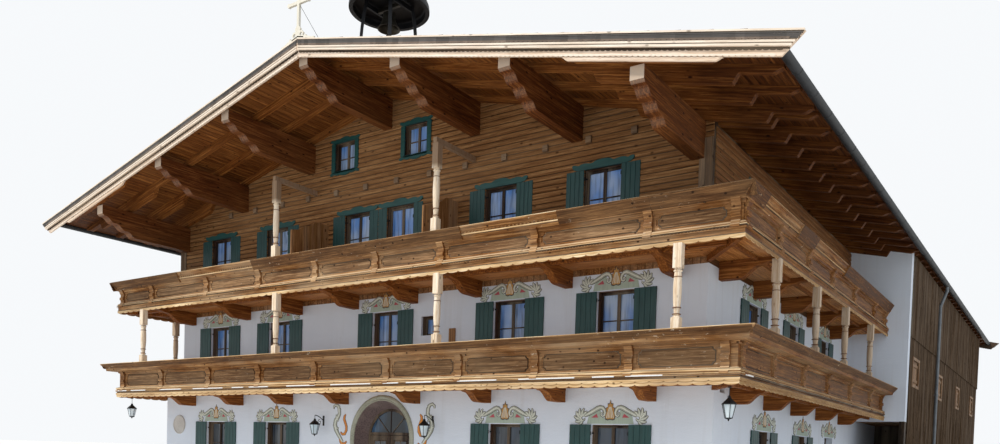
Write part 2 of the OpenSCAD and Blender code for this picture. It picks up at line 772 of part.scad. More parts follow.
module bays(posts, z0, z1) {
    inset = bracket_w / 2 + 70;
    for (i = [0:len(posts) - 2]) panel_cut(posts[i] + inset, posts[i + 1] - inset, z0, z1);
}
// The corners are mitred
module corner_wedge() {
    dx = half_w + side_out;
    linear_extrude(far) polygon([[-dx - far, -balcony_out - far], [dx + far, -balcony_out - far],
        [dx - 2000, -balcony_out + 2000], [-dx + 2000, -balcony_out + 2000]]);
}
module at_front(z) { translate([0, -balcony_out, z]) children(); }
module at_side(z) { translate([half_w + side_out, 0, z]) rotate([0, 0, 90]) children(); }
module lower_parapet() {
    far_x = half_w + side_out + lower_rail_out;
    color(larch) from_front() {
        intersection() {
            at_front(lower_balcony_z) lower_run(-far_x, far_x, concat([-corner_bay], lower_bay_x, [corner_bay]));
            corner_wedge();
        }
        both_sides() difference() {
            at_side(lower_balcony_z)
                lower_run(-balcony_out - lower_rail_out, dwelling_len,
                    concat([-balcony_out + 290], side_bay_y, [dwelling_len - 290]));
            translate([seat_gap, 0, 0]) corner_wedge();
        }
    }
}
module upper_parapet() {
    far_x = half_w + side_out + upper_rail_out;
    color(larch) from_front() {
        intersection() {
            at_front(upper_balcony_z)
                upper_run(-far_x, far_x, concat([-corner_bay - 100], upper_bay_x, [corner_bay + 100]), upper_box_x);
            corner_wedge();
        }
        both_sides() difference() {
            at_side(upper_balcony_z)
                upper_run(-balcony_out - upper_rail_out, dwelling_len,
                    concat([-balcony_out + 190], side_bay_y, [dwelling_len - 290]), upper_box_y);
            translate([seat_gap, 0, 0]) corner_wedge();
        }
    }
}

// Carved console beam from the wall out, its top at height 0
module console(root, reach, h) {
    w = reach - root;
    nose = deck_drop - seat_gap;
    pts = concat([[root, 0], [root, -h], [root + 0.3 * w, -h]], s_curve([root + 0.36 * w, -h], 0.34 * w, nose + 45 - h),
        s_curve([root + 0.74 * w, -nose - 40], 0.12 * w, -40, 4),
        arc([reach - 60, -nose + 60], 60, -90, 0, 5), [[reach, 0]]);
    sideways(-console_w / 2, console_w) polygon([for (p = pts) [-p[0], p[1]]]);
}
module consoles(z, xs, root, h) {
    reach = balcony_out - fascia_t - seat_gap;
    side_reach = side_out - fascia_t - seat_gap;
    from_front() {
        for (x = xs) translate([x, 0, z]) console(root, reach, h);
        both_sides() {
            for (y = side_bay_y) translate([half_w, y, z]) rotate([0, 0, 90]) console(root, side_reach, h);
            corner_joist(z, root);
        }
    }
}
// The joist from the wall's corner to the balcony's corner
function joist_run(root) = [side_out - fascia_t - joist_w - root, root + fascia_t + joist_w - balcony_out];
module corner_joist(z, root) {
    run = joist_run(root);
    translate([half_w + root, -root, z - joist_h]) rotate([0, 0, atan2(run[1], run[0])])
        translate([0, -joist_w / 2, 0]) cube([norm(run), joist_w, joist_h]);
}
module console_beams() {
    color(larch) {
        consoles(lower_deck_z, lower_bay_x, plinth_out, console_h);
        consoles(upper_deck_z, upper_bay_x, 0, upper_console_h);
    }
}

// Turned posts between the balconies: a square foot and head, two rings and a vase
module turned_post(h) {
    r = post_r;
    ring = 12;
    neck = 0.62 * r;
    foot = 0.16 * h;
    head = 0.72 * h;
    vase = [for (i = [0:8]) let (t = i / 8) [neck + (0.98 * r - neck) * sin(150 * t), foot + 70 + (head - foot - 150) * t]];
    translate([-r, -r, 0]) cube([2 * r, 2 * r, foot]);
    translate([-r, -r, head]) cube([2 * r, 2 * r, h - head]);
    rotate_extrude($fn = 32) polygon(concat([[0, foot - eps], [0.98 * r, foot - eps], [0.98 * r, foot + 8],
        [neck, foot + 40], [neck + ring, foot + 50], [neck + ring, foot + 62]], vase,
        [[r - ring, head - 70], [r, head - 60], [r, head - 40], [r - 2 * ring, head - 30], [r - ring, head + eps],
         [0, head + eps]]));
}
module balcony_posts() {
    h = upper_balcony_z - lower_balcony_z - lower_rail_h;
    free_z = upper_balcony_z + upper_rail_h;
    free_h = beam_z - free_z;
    beam_w = 100;
    beam_h = 120;
    color(larch) from_front() {
        for (x = post_x) translate([x, -balcony_out + 20, upper_balcony_z - h]) turned_post(h);
        both_sides() for (y = side_post_y)
            translate([half_w + side_out - 20, y, upper_balcony_z - h]) turned_post(h);
        for (x = free_post_x) {
            translate([x, -balcony_out + 20, free_z]) turned_post(free_h);
            block([x - beam_w / 2, -balcony_out - 80, beam_z + seat_gap],
                  [x + beam_w / 2, -log_out, beam_z + beam_h]);
        }
    }
}
// Screens of boards on the upper balcony with a scrolled outer edge, and a board on the wall below
module privacy_screens() {
    top = second_z + 1950;
    shoulder = second_z + 1580;
    color(weathered) from_front() {
        for (x = screen_x) sideways(x - 20, 40)
            polygon(concat([[-log_out, second_z], [-log_out, top], [-log_out - 420, top]],
                s_curve([-log_out - 450, top], -330, 0.5 * (top - shoulder)),
                s_curve([-log_out - 800, (top + shoulder) / 2], -380, (top - shoulder) / 2),
                [[1 - balcony_out + parapet_in, shoulder - 40], [1 - balcony_out + parapet_in, second_z]]));
        block([wall_board_x - wall_board_w / 2, -shutter_t, first_z + 700],
              [wall_board_x + wall_board_w / 2, 0, first_z + 1530]);
    }
}

// Roof
module purlin_profile() {
    front = -front_overhang + 2 * verge_t + 105;
    step = 350;
    rear = roof_back - verge_t - 150;
    polygon(concat([[front, 0], [front, -purlin_h + 50], [front + 60, -purlin_h]],
        [for (i = [0:2]) for (p = s_curve([front + 120 + i * step, -purlin_h - i * bracket_h / 3], step - 100, bracket_h / 3)) p],
        [[-log_out, -purlin_h - bracket_h], [-log_out, -purlin_h], [rear, -purlin_h], [rear, 0]]));
}
module purlins() {
    color(larch) from_front() {
        for (i = [0:3]) translate([purlin_x[i] - purlin_w / 2, 0, purlin_top(i)]) sideways(0, purlin_w) purlin_profile();
        for (i = [1:3]) translate([-purlin_x[i] - purlin_w / 2, 0, purlin_top(i)]) sideways(0, purlin_w) purlin_profile();
    }
}
// A curve along the underside of a rafter, from depth d0 below it at x0 to depth d1 at x1
function under_curve(x0, x1, d0, d1, n = 6) = [for (i = [0:n]) let (x = x0 + (x1 - x0) * i / n)
    [x, rafter_under(x) + seat_gap - d0 - (d1 - d0) * (1 - cos(180 * i / n)) / 2]];
module rafter_outline() {
    x0 = seat_gap / 2;
    x1 = rafter_end;
    nib = 150;
    polygon(concat([[x0, cover_under(x0) - seat_gap], [x0, rafter_under(x0) + seat_gap]],
        under_curve(bolster_in, bolster_in + nib, 0, bolster_h - seat_gap),
        under_curve(bolster_out - nib, bolster_out, bolster_h - seat_gap, 0),
        under_curve(x1 - 220, x1, 0, -90), [[x1, cover_under(x1) - seat_gap]]));
}
// Rafters from y0 to y1, the first and last of them beside what stands there
module rafter_bay(y0, y1) {
    count = max(1, floor((y1 - y0 - rafter_w) / rafter_pitch));
    step = (y1 - y0 - rafter_w) / count;
    for (i = [0:count]) upright(y0 + i * step, rafter_w) rafter_outline();
}
module rafters() {
    color(larch) from_front() both_sides() {
        rafter_bay(2 * verge_t - front_overhang, -log_out);
        rafter_bay(log_t - log_out, dwelling_len);
        rafter_bay(dwelling_len + return_t, barn_end - board_t + lap_out);
        rafter_bay(barn_end + lap_out, roof_back - 2 * verge_t);
    }
}
module roof_half() {
    x1 = roof_w / 2 - gutter_r;
    from_front() upright(-front_overhang, roof_len)
        polygon([[0, ridge_z], [0, cover_under(0)], [x1, cover_under(x1)], [x1, roof_top(x1)]]);
}
module roof_right() { color(slate) roof_half(); }
module roof_left() { color(slate) mirror([1, 0, 0]) roof_half(); }
// The verge: two boards that reach past the eaves to a slanted tip, and a third one at the outermost purlin
module verge_outline(depth) {
    x0 = seat_gap / 2;
    x1 = roof_w / 2 - gutter_r + seat_gap;
    tip = roof_w / 2 + verge_reach;
    low = tip - 0.9 * depth;
    polygon([[x0, cover_under(x0) - seat_gap], [x1, cover_under(x1) - seat_gap], [x1, roof_top(x1)],
             [tip, roof_top(tip)], [low, roof_top(low) - depth], [x0, roof_top(x0) - depth]]);
}
module third_board() {
    top = verge_h - cover_t - rafter_h + 15;
    low = bolster_h + 20;
    polygon(concat(under_curve(bolster_in - 80, bolster_in + 60, top, low),
        under_curve(bolster_out - 60, bolster_out + 80, low, top)));
}
module verge_boards() {
    color(larch) from_front() both_sides() {
        upright(-front_overhang, 2 * verge_t) verge_outline(0.64 * verge_h);
        upright(verge_t - front_overhang, verge_t) verge_outline(verge_h);
        upright(verge_t - front_overhang, verge_t) third_board();
        upright(roof_back - 2 * verge_t, 2 * verge_t) verge_outline(0.64 * verge_h);
        upright(roof_back - 2 * verge_t, verge_t) verge_outline(verge_h);
        upright(roof_back - 2 * verge_t, verge_t) third_board();
    }
}
module gutter_section() {
    difference() {
        circle(r = gutter_r, $fn = 32);
        circle(r = gutter_r - 8, $fn = 32);
        translate([-far, 0]) square([2 * far, far]);
    }
}
module gutters() {
    behind_verge = 2 * verge_t + seat_gap;
    color(iron_black) from_front() both_sides() upright(behind_verge - front_overhang, roof_len - 2 * behind_verge)
        translate([roof_w / 2 - gutter_r, gutter_z]) gutter_section();
}
module pipe_run(a, b) {
    d = b - a;
    l = norm(d);
    translate(a) rotate([0, acos(d[2] / l), atan2(d[1], d[0])]) cylinder(r = pipe_r, h = l, $fn = 24);
}
// A swan neck from the gutter's outlet to the wall, then straight down, with a socket at each bend
module pipe_clip(z, out) {
    translate([0, 0, z]) {
        cylinder(r = pipe_r + 12, h = pipe_clip_h, $fn = 24);
        block([-pipe_r - pipe_stand - out, -15, 0], [0, 15, pipe_clip_h]);
    }
}
module downpipes() {
    x_wall = barn_half + lap_out + pipe_r + pipe_stand;
    x_gutter = roof_w / 2 - gutter_r;
    top = gutter_z - gutter_r;
    bend = [[x_gutter, pipe_y, top], [x_gutter, pipe_y, top - pipe_bend],
            [x_wall, pipe_y, top - pipe_bend - pipe_neck], [x_wall, pipe_y, 3 * pipe_r]];
    color(slate) from_front() both_sides() {
        for (i = [0:2]) pipe_run(bend[i], bend[i + 1]);
        for (i = [1:2]) translate(bend[i]) sphere(r = pipe_r + 10, $fn = 24);
        translate([x_wall, pipe_y, 0]) for (z = pipe_clip_z) pipe_clip(z, z < seam_z ? lap_out : 0);
    }
}
// A carved pole cross with rounded ends, and the openwork crest at its foot
module gable_cross() {
    pole_h = 1180;
    arm_z = 840;
    arm_x = 330;
    bar = 35;
    color("ivory") from_front() translate([0, 0, ridge_z]) upright(-front_overhang, 60) {
        translate([-bar, 0]) square([2 * bar, pole_h]);
        translate([-arm_x, arm_z - bar]) square([2 * arm_x, 2 * bar]);
        for (p = [[0, pole_h], [arm_x, arm_z], [-arm_x, arm_z]]) translate(p) circle(r = 1.35 * bar, $fn = 24);
    }
}
module gable_crest() {
    half = 560;
    crest_h = 300;
    color("ivory") from_front() both_sides() upright(-front_overhang, 45) difference() {
        polygon(concat([[36, roof_top(36) + seat_gap], [half, roof_top(half) + seat_gap]], [for (i = [0:6])
            let (t = i / 6) [half - (half - 36) * t, roof_top(half) + 60 + (crest_h + ridge_z - roof_top(half) - 60) * t * t]]));
        for (c = [[110, 90, 42], [105, 190, 28], [215, 60, 40], [320, 20, 30]])
            translate([c[0], ridge_z + c[1]]) circle(r = c[2], $fn = 24);
    }
}

// Bell turret on the ridge: four posts that bow outwards, raking struts, and a round hood
module turret_post() {
    bow = 120;
    post_t = 80;
    top = turret_h + hood_depth - seat_gap;
    outer = [for (i = [0:10]) let (z = top * i / 10) [turret_r + bow * sin(180 * z / top), z]];
    inner = [for (i = [10:-1:0]) let (z = top * i / 10) [turret_r - post_t + bow * sin(180 * z / top), z]];
    upright(-45, 90) {
        polygon(concat(outer, inner));
        polygon([[160, 0], [240, 0], [turret_r + 40, 950], [turret_r - 30, 950]]);
    }
}
module bell_turret() {
    side = turret_r * cos(45);
    base = side + 90;
    bearing = 60;
    color(iron_black) from_front() translate([0, turret_y, ridge_z]) difference() {
        union() {
            block([-base, -base, -250], [base, base, 60]);
            for (a = [45:90:315]) rotate([0, 0, a]) turret_post();
            both_sides() block([side - bearing, -side, bell_axle_z - bearing], [side, side, bell_axle_z + bearing]);
        }
        translate([-far / 2, 0, bell_axle_z]) rotate([0, 90, 0]) cylinder(r = axle_r + pin_gap, h = far, $fn = 24);
        rotate([90, 0, 0]) linear_extrude(far, center = true)
            polygon([[0, seat_gap], [far, seat_gap - far * slope], [-far, seat_gap - far * slope]]);
    }
}
module bell_canopy() {
    rim = 60;
    inner_r = canopy_r - 110;
    dome = [for (i = [0:10]) let (a = 90 * i / 10) [canopy_r * cos(a), rim + (canopy_h - rim) * sin(a)]];
    color(iron_black) from_front() translate([0, turret_y, ridge_z + turret_h]) rotate_extrude($fn = 64)
        polygon(concat([[0, hood_depth], [inner_r - 60, hood_depth]], arc([inner_r - 60, hood_depth - 60], 60, 90, 0, 4),
            [[inner_r, 0], [canopy_r, 0]], [for (i = [0:9]) dome[i]],
            [[45, canopy_h], [45, canopy_h + 120], [0, canopy_h + 160]]));
}
// The bell: its waist, crown and clapper, on a yoke with an axle
module bell() {
    side = turret_r * cos(45) - 60;
    r = bell_r;
    wall = 25;
    height = 0.72 * bell_drop;
    outer = [for (i = [0:8]) let (t = i / 8) [0.52 * r + 0.48 * r * pow(1 - t, 2.2), height * t]];
    inner = [for (i = [8:-1:0]) let (t = i / 8) [0.52 * r + 0.48 * r * pow(1 - t, 2.2) - wall, (height - wall) * t]];
    color(iron_black) from_front() translate([0, turret_y, ridge_z + bell_axle_z]) {
        translate([0, 0, -bell_drop]) rotate_extrude($fn = 48)
            polygon(concat(outer, [[0.3 * r, height + 30], [40, height + 45], [40, bell_drop - 30], [0, bell_drop - 30],
                [0, height - wall]], inner));
        translate([0, 0, -bell_drop]) rotate_extrude($fn = 24)
            polygon([[0, -90], [30, -85], [38, -60], [45, -10], [25, 40], [14, 60], [14, height], [0, height]]);
        block([15 - side, -40, -60], [side - 15, 40, 40]);
        translate([-side - 30, 0, 0]) rotate([0, 90, 0]) cylinder(r = axle_r, h = 2 * side + 60, $fn = 24);
    }
}

// Lanterns: a tapered glass body under a hood, hung from a rod or from a curled wall arm
module lantern(drop) {
    rotate_extrude($fn = 24) polygon([[0, -60], [14, -50], [22, -22], [60, -15], [70, 0], [135, 260], [150, 262], [150, 280],
        [95, 340], [40, 380], [30, 420], [9, 430], [9, drop], [0, drop]]);
}
module lanterns() {
    run = joist_run(plinth_out);
    hook_z = lower_deck_z - joist_h;
    rose_t = 20;
    plate_t = 8;
    color(iron_black) from_front() {
        both_sides() translate([half_w + plinth_out + 0.8 * run[0], 0.8 * run[1] - plinth_out, 0]) {
            translate([0, 0, corner_lantern_z]) lantern(hook_z - rose_t - corner_lantern_z);
            translate([0, 0, hook_z - rose_t]) cylinder(r = joist_w / 2, h = rose_t - seat_gap, $fn = 24);
        }
        for (x = [door_x - 2 * portal_r + 60, door_x + 1.55 * portal_r])
            translate([x, -plinth_out - lantern_reach, 0]) {
                translate([0, 0, lantern_z - lantern_h]) lantern(lantern_h);
                block([-12, 0, lantern_z - 12], [12, lantern_reach, lantern_z + 12]);
                block([-30, lantern_reach - plate_t, lantern_z - 160], [30, lantern_reach, lantern_z + 90]);
            }
    }
}
module wall_plaque() {
    color(stone_grey) from_front() translate([plaque_x, -plinth_out, plaque_z])
        rotate([90, 0, 0]) cylinder(r = plaque_r, h = plaque_t, $fn = 48);
}

ground_wall_left();
ground_wall_right();
ground_walls_over_doors();
ground_side_wall_left();
ground_side_wall_front();
ground_side_wall_rear();
door_portal();
door_frames();
door_leaf_left();
door_leaf_right();
side_door_leaf();
ground_floor();
first_floor();
second_floor();
attic_floor();
first_front_wall();
first_side_walls();
log_front_wall();
log_side_walls();
return_walls();
barn_lower_walls();
barn_upper_walls();
barn_rear_wall();
barn_rear_gable();
windows();
barn_windows();
shutters();
carved_lintels();
balcony_decks();
lower_parapet();
upper_parapet();
console_beams();
balcony_posts();
privacy_screens();
purlins();
rafters();
roof_left();
roof_right();
verge_boards();
gutters();
downpipes();
gable_cross();
gable_crest();
bell_turret();
bell_canopy();
bell();
lanterns();
wall_plaque();
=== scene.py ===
"""Finishes and fine parts of the alpine chalet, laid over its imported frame.

Every length is in metres. Places are given from the rendered front wall: along the house's width (x), back from
that wall (y) and up from the ground (z). Draft.piece() moves them into the frame.
"""

import logging
import math
from collections.abc import Callable, Sequence
from dataclasses import dataclass
from enum import Enum

import bmesh
import bpy
from mathutils import Matrix, Vector


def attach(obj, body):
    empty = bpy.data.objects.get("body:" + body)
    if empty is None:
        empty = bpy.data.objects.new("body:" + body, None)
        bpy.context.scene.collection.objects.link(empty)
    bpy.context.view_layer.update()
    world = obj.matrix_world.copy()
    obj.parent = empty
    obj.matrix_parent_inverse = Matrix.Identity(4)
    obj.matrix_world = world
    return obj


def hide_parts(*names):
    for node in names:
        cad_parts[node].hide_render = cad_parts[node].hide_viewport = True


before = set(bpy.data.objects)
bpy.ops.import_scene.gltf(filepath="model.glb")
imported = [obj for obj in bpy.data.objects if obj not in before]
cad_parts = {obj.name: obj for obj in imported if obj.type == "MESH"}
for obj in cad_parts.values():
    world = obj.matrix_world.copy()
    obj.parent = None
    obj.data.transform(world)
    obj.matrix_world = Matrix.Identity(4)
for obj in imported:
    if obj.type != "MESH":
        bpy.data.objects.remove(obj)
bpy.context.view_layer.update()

MIRROR = (-1.0, 1.0, 1.0)

Point = tuple[float, float, float]
Flat = tuple[float, float]
Color = tuple[float, float, float]
Tones = tuple[Color, Color, Color]
Hole = tuple[float, float, float, float]

log = logging.getLogger("chalet")


def arc(centre: Flat, radius: float, start: float, end: float, count: int) -> list[Flat]:
    """Points of an arc between two angles in radians, parted into count equal steps."""
    angles = [start + (end - start) * i / count for i in range(count + 1)]
    return [(centre[0] + radius * math.cos(a), centre[1] + radius * math.sin(a)) for a in angles]


def parts_of(start: float, end: float, count: int, gap: float) -> list[Flat]:
    """Parts a span into equal stretches with a gap taken off both ends of each."""
    width = (end - start) / count
    return [(start + i * width + gap, start + (i + 1) * width - gap) for i in range(count)]


def dimmed(color: Color, share: float) -> Color:
    """A colour at a share of its brightness."""
    return tuple(share * c for c in color)


def link_object(name: str, data: bpy.types.ID) -> bpy.types.Object:
    """Puts a mesh, lamp or camera into the scene as an object of that name, and returns it."""
    made = bpy.data.objects.new(name, data)
    bpy.context.scene.collection.objects.link(made)
    return made


class Size:
    """The chalet's own sizes, as the part's source gives them."""

    FRONT = -16.35
    HALF = 9.0
    PLINTH = 0.35
    GROUND_HALF = HALF + PLINTH
    LOG_HALF = 9.05
    LOG_OUT = 0.1
    DWELLING = 12.42
    BARN_HALF = 10.9
    BARN_END = 33.74
    BARN_FIRST_Y = 13.9
    BARN_PITCH = 5.85
    LAP = 0.04
    SEAM = 5.72
    RETURN = 0.35
    FIRST = 3.15
    SECOND = 5.85
    GROUND_FLOOR = 0.15
    LOWER_BALCONY = 3.0
    UPPER_BALCONY = 5.7
    BALCONY_OUT = 1.57
    SIDE_OUT = 1.28
    RIDGE = 11.12
    EAVE = 8.413
    ROOF_HALF = 11.3
    SLAB_HALF = 11.205
    VERGE_TIP = 11.69
    VERGE_RAKE = 0.9
    GUTTER_Z = 8.332
    OVERHANG = 3.3
    ROOF_BACK = 36.0
    SLOPE = (RIDGE - EAVE) / ROOF_HALF
    COVER = 0.1
    RAFTER = 0.16
    PURLIN_X = (0.0, 2.91, 5.82, 8.73)
    WINDOW_W = 0.92
    WINDOW_H = 1.2
    SHUTTER_W = 0.54
    DOOR_X = 0.25
    SPRING = 1.85
    SIDE_DOOR_Y = 9.27
    PURLIN_TIP = (19.37, 19.42)
    REAR_VERGE = (18.0, 18.1)
    CORNER_POST = (10.1, 10.15)
    BARN_WINDOW_HALF = 0.6
    BARN_WINDOW_UP = (4.22, 5.02)

    @staticmethod
    def roof_top(x: float) -> float:
        """Height of the roof's top face at x."""
        return Size.RIDGE - Size.SLOPE * abs(x)

    @staticmethod
    def cover_under(x: float) -> float:
        """Height of the roof covering's underside at x."""
        return Size.roof_top(x) - Size.COVER

    @staticmethod
    def rafter_under(x: float) -> float:
        """Height of the rafters' underside at x."""
        return Size.cover_under(x) - Size.RAFTER


class Side(Enum):
    """The side of the house that a wall faces."""

    FRONT = "front"
    RIGHT = "right"
    LEFT = "left"
    REAR = "rear"


@dataclass(frozen=True)
class Station:
    """A wall to work on: the side it faces and how far out its face stands."""

    side: Side
    face: float

    def place(self, along: float, out: float, up: float) -> Point:
        """Turns a place on the wall into a place from the front wall.

        Args:
            along: Distance along the wall.
            out: Distance out from the wall's face.
            up: Height above ground.

        Returns:
            The same place as x, y and z.
        """
        reach = self.face + out
        if self.side is Side.FRONT:
            return (along, -reach, up)
        if self.side is Side.REAR:
            return (along, reach, up)
        return (reach if self.side is Side.RIGHT else -reach, along, up)

    def step(self, along: float) -> Point:
        """The shift in space that a shift along the wall makes."""
        return tuple(Vector(self.place(along, 0.0, 0.0)) - Vector(self.place(0.0, 0.0, 0.0)))


class Draft:
    """Collects the corners and faces of one piece."""

    def __init__(self) -> None:
        """Starts with nothing."""
        self.corners: list[Point] = []
        self.faces: list[list[int]] = []

    def ring_stack(self, rings: Sequence[Sequence[Point]]) -> None:
        """Closes a row of equal rings of corners into one solid.

        Args:
            rings: The rings from one end to the other, each with the same number of corners.
        """
        first = len(self.corners)
        count = len(rings[0])
        for ring in rings:
            self.corners.extend(ring)
        for level in range(len(rings) - 1):
            low, high = first + level * count, first + (level + 1) * count
            for i in range(count):
                j = (i + 1) % count
                self.faces.append([low + i, low + j, high + j, high + i])
        self.faces.append([first + i for i in range(count)][::-1])
        self.faces.append([first + (len(rings) - 1) * count + i for i in range(count)])

    def panel(self, station: Station, outline: Sequence[Flat], low: float, high: float) -> None:
        """Adds a flat outline with a thickness on a wall.

        Args:
            station: The wall.
            outline: Corners as distance along the wall and height.
            low: Distance of its back from the wall's face.
            high: Distance of its front from the wall's face.
        """
        self.ring_stack([[station.place(a, out, u) for a, u in outline] for out in (low, high)])

    def block(self, station: Station, along: Flat, out: Flat, up: Flat, chamfer: float = 0.0) -> None:
        """Adds a board or bar on a wall, its outer edges along the wall chamfered.

        Args:
            station: The wall.
            along: Its two ends along the wall.
            out: Its back and front from the wall's face.
            up: Its lower and upper edge.
            chamfer: Size of the chamfer on the outer edges.
        """
        (back, front), (low, high), c = out, up, chamfer
        section = [(back, low), (front, low), (front, high), (back, high)]
        if c:
            section[1:3] = [(front - c, low), (front, low + c), (front, high - c), (front - c, high)]
        self.ring_stack([[station.place(a, o, u) for o, u in section] for a in along])

    def plank(self, station: Station, along: Flat, out: Flat, up: Flat, chamfer: float) -> None:
        """Adds an upright plank on a wall, its outer upright edges chamfered.

        Args:
            station: The wall.
            along: Its two upright edges.
            out: Its back and front from the wall's face.
            up: Its foot and its top.
            chamfer: Size of the chamfer.
        """
        (left, right), (back, front), c = along, out, chamfer
        section = [(left, back), (left, front - c), (left + c, front)]
        section += [(right - c, front), (right, front - c), (right, back)]
        self.ring_stack([[station.place(a, o, u) for a, o in section] for u in up])

    def slab(self, outline: Sequence[Flat], low: float, high: float) -> None:
        """Adds a flat outline in plan between two heights.

        Args:
            outline: Corners as x and y.
            low: Height of its underside.
            high: Height of its top.
        """
        self.ring_stack([[(x, y, z) for x, y in outline] for z in (low, high)])

    def lathe(self, centre: Point, profile: Sequence[Flat], sides: int) -> None:
        """Adds a turned solid about an upright axis.

        Args:
            centre: Place of the axis at height 0 of the profile.
            profile: Radius and height from the foot to the top.
            sides: Number of sides.
        """
        rings = []
        for radius, height in profile:
            ring = arc(centre[:2], radius, 0.0, math.tau, sides)[:-1]
            rings.append([(x, y, centre[2] + height) for x, y in ring])
        self.ring_stack(rings)

    def rod(self, path: Sequence[Point], radius: float, sides: int = 8) -> None:
        """Adds a round rod along a path.

        Args:
            path: The points it passes.
            radius: Its radius.
            sides: Number of sides.
        """
        points = [Vector(p) for p in path]
        rings = []
        for i, point in enumerate(points):
            ahead = points[min(i + 1, len(points) - 1)] - points[max(i - 1, 0)]
            ahead.normalize()
            side = ahead.cross(Vector((0.0, 0.0, 1.0)))
            if side.length < 0.05:
                side = ahead.cross(Vector((0.0, 1.0, 0.0)))
            side.normalize()
            other = ahead.cross(side)
            turned = arc((0.0, 0.0), 1.0, 0.0, math.tau, sides)[:-1]
            rings.append([tuple(point + radius * (a * side + b * other)) for a, b in turned])
        self.ring_stack(rings)

    def ribbon(self, station: Station, path: Sequence[Point], low: float, high: float) -> None:
        """Adds a flat band that follows a path on a wall.

        Args:
            station: The wall.
            path: Distance along the wall, height and half of the band's width at each point.
            low: Distance of its back from the wall's face.
            high: Distance of its front from the wall's face.
        """
        rings = []
        for i, (along, up, half) in enumerate(path):
            before, after = path[max(i - 1, 0)], path[min(i + 1, len(path) - 1)]
            run, rise = after[0] - before[0], after[1] - before[1]
            length = math.hypot(run, rise) or 1.0
            na, nu = -rise / length * half, run / length * half
            edges = ((-1, low), (-1, high), (1, high), (1, low))
            rings.append([station.place(along + s * na, out, up + s * nu) for s, out in edges])
        self.ring_stack(rings)

    def mirror(self) -> None:
        """Adds a copy of everything on the other side of the house's middle."""
        first = len(self.corners)
        self.corners.extend([(-x, y, z) for x, y, z in self.corners])
        self.faces.extend([[first + i for i in reversed(face)] for face in list(self.faces)])

    def piece(self, name: str) -> bpy.types.Object:
        """Makes the piece, with its faces outward.

        Args:
            name: The piece's name.

        Returns:
            An object at the origin with its place in its mesh.
        """
        mesh = bpy.data.meshes.new(name)
        mesh.from_pydata([(x, y + Size.FRONT, z) for x, y, z in self.corners], [], self.faces)
        work = bmesh.new()
        work.from_mesh(mesh)
        bmesh.ops.recalc_face_normals(work, faces=work.faces)
        work.to_mesh(mesh)
        work.free()
        return link_object(name, mesh)


def smooth(piece: bpy.types.Object, angle: float = 40.0) -> bpy.types.Object:
    """Shades a piece smooth where its faces meet at less than an angle in degrees, and returns it."""
    piece.data.shade_smooth()
    piece.data.set_sharp_from_angle(angle=math.radians(angle))
    return piece


def hand_over(
    piece: bpy.types.Object,
    material: bpy.types.Material,
    slot: str,
    body: str = "house",
    stands_for: Sequence[str] = (),
) -> bpy.types.Object:
    """Gives a piece its material and its body, and hides the frame's nodes that it replaces.

    Args:
        piece: The finished piece.
        material: Its material.
        slot: Not used.
        body: The body it moves with.
        stands_for: Nodes of the frame that it replaces.

    Returns:
        The same piece.
    """
    piece.data.materials.clear()
    piece.data.materials.append(material)
    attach(piece, body)
    if stands_for:
        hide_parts(*stands_for)
    log.info("%s: %d faces", piece.name, len(piece.data.polygons))
    return piece


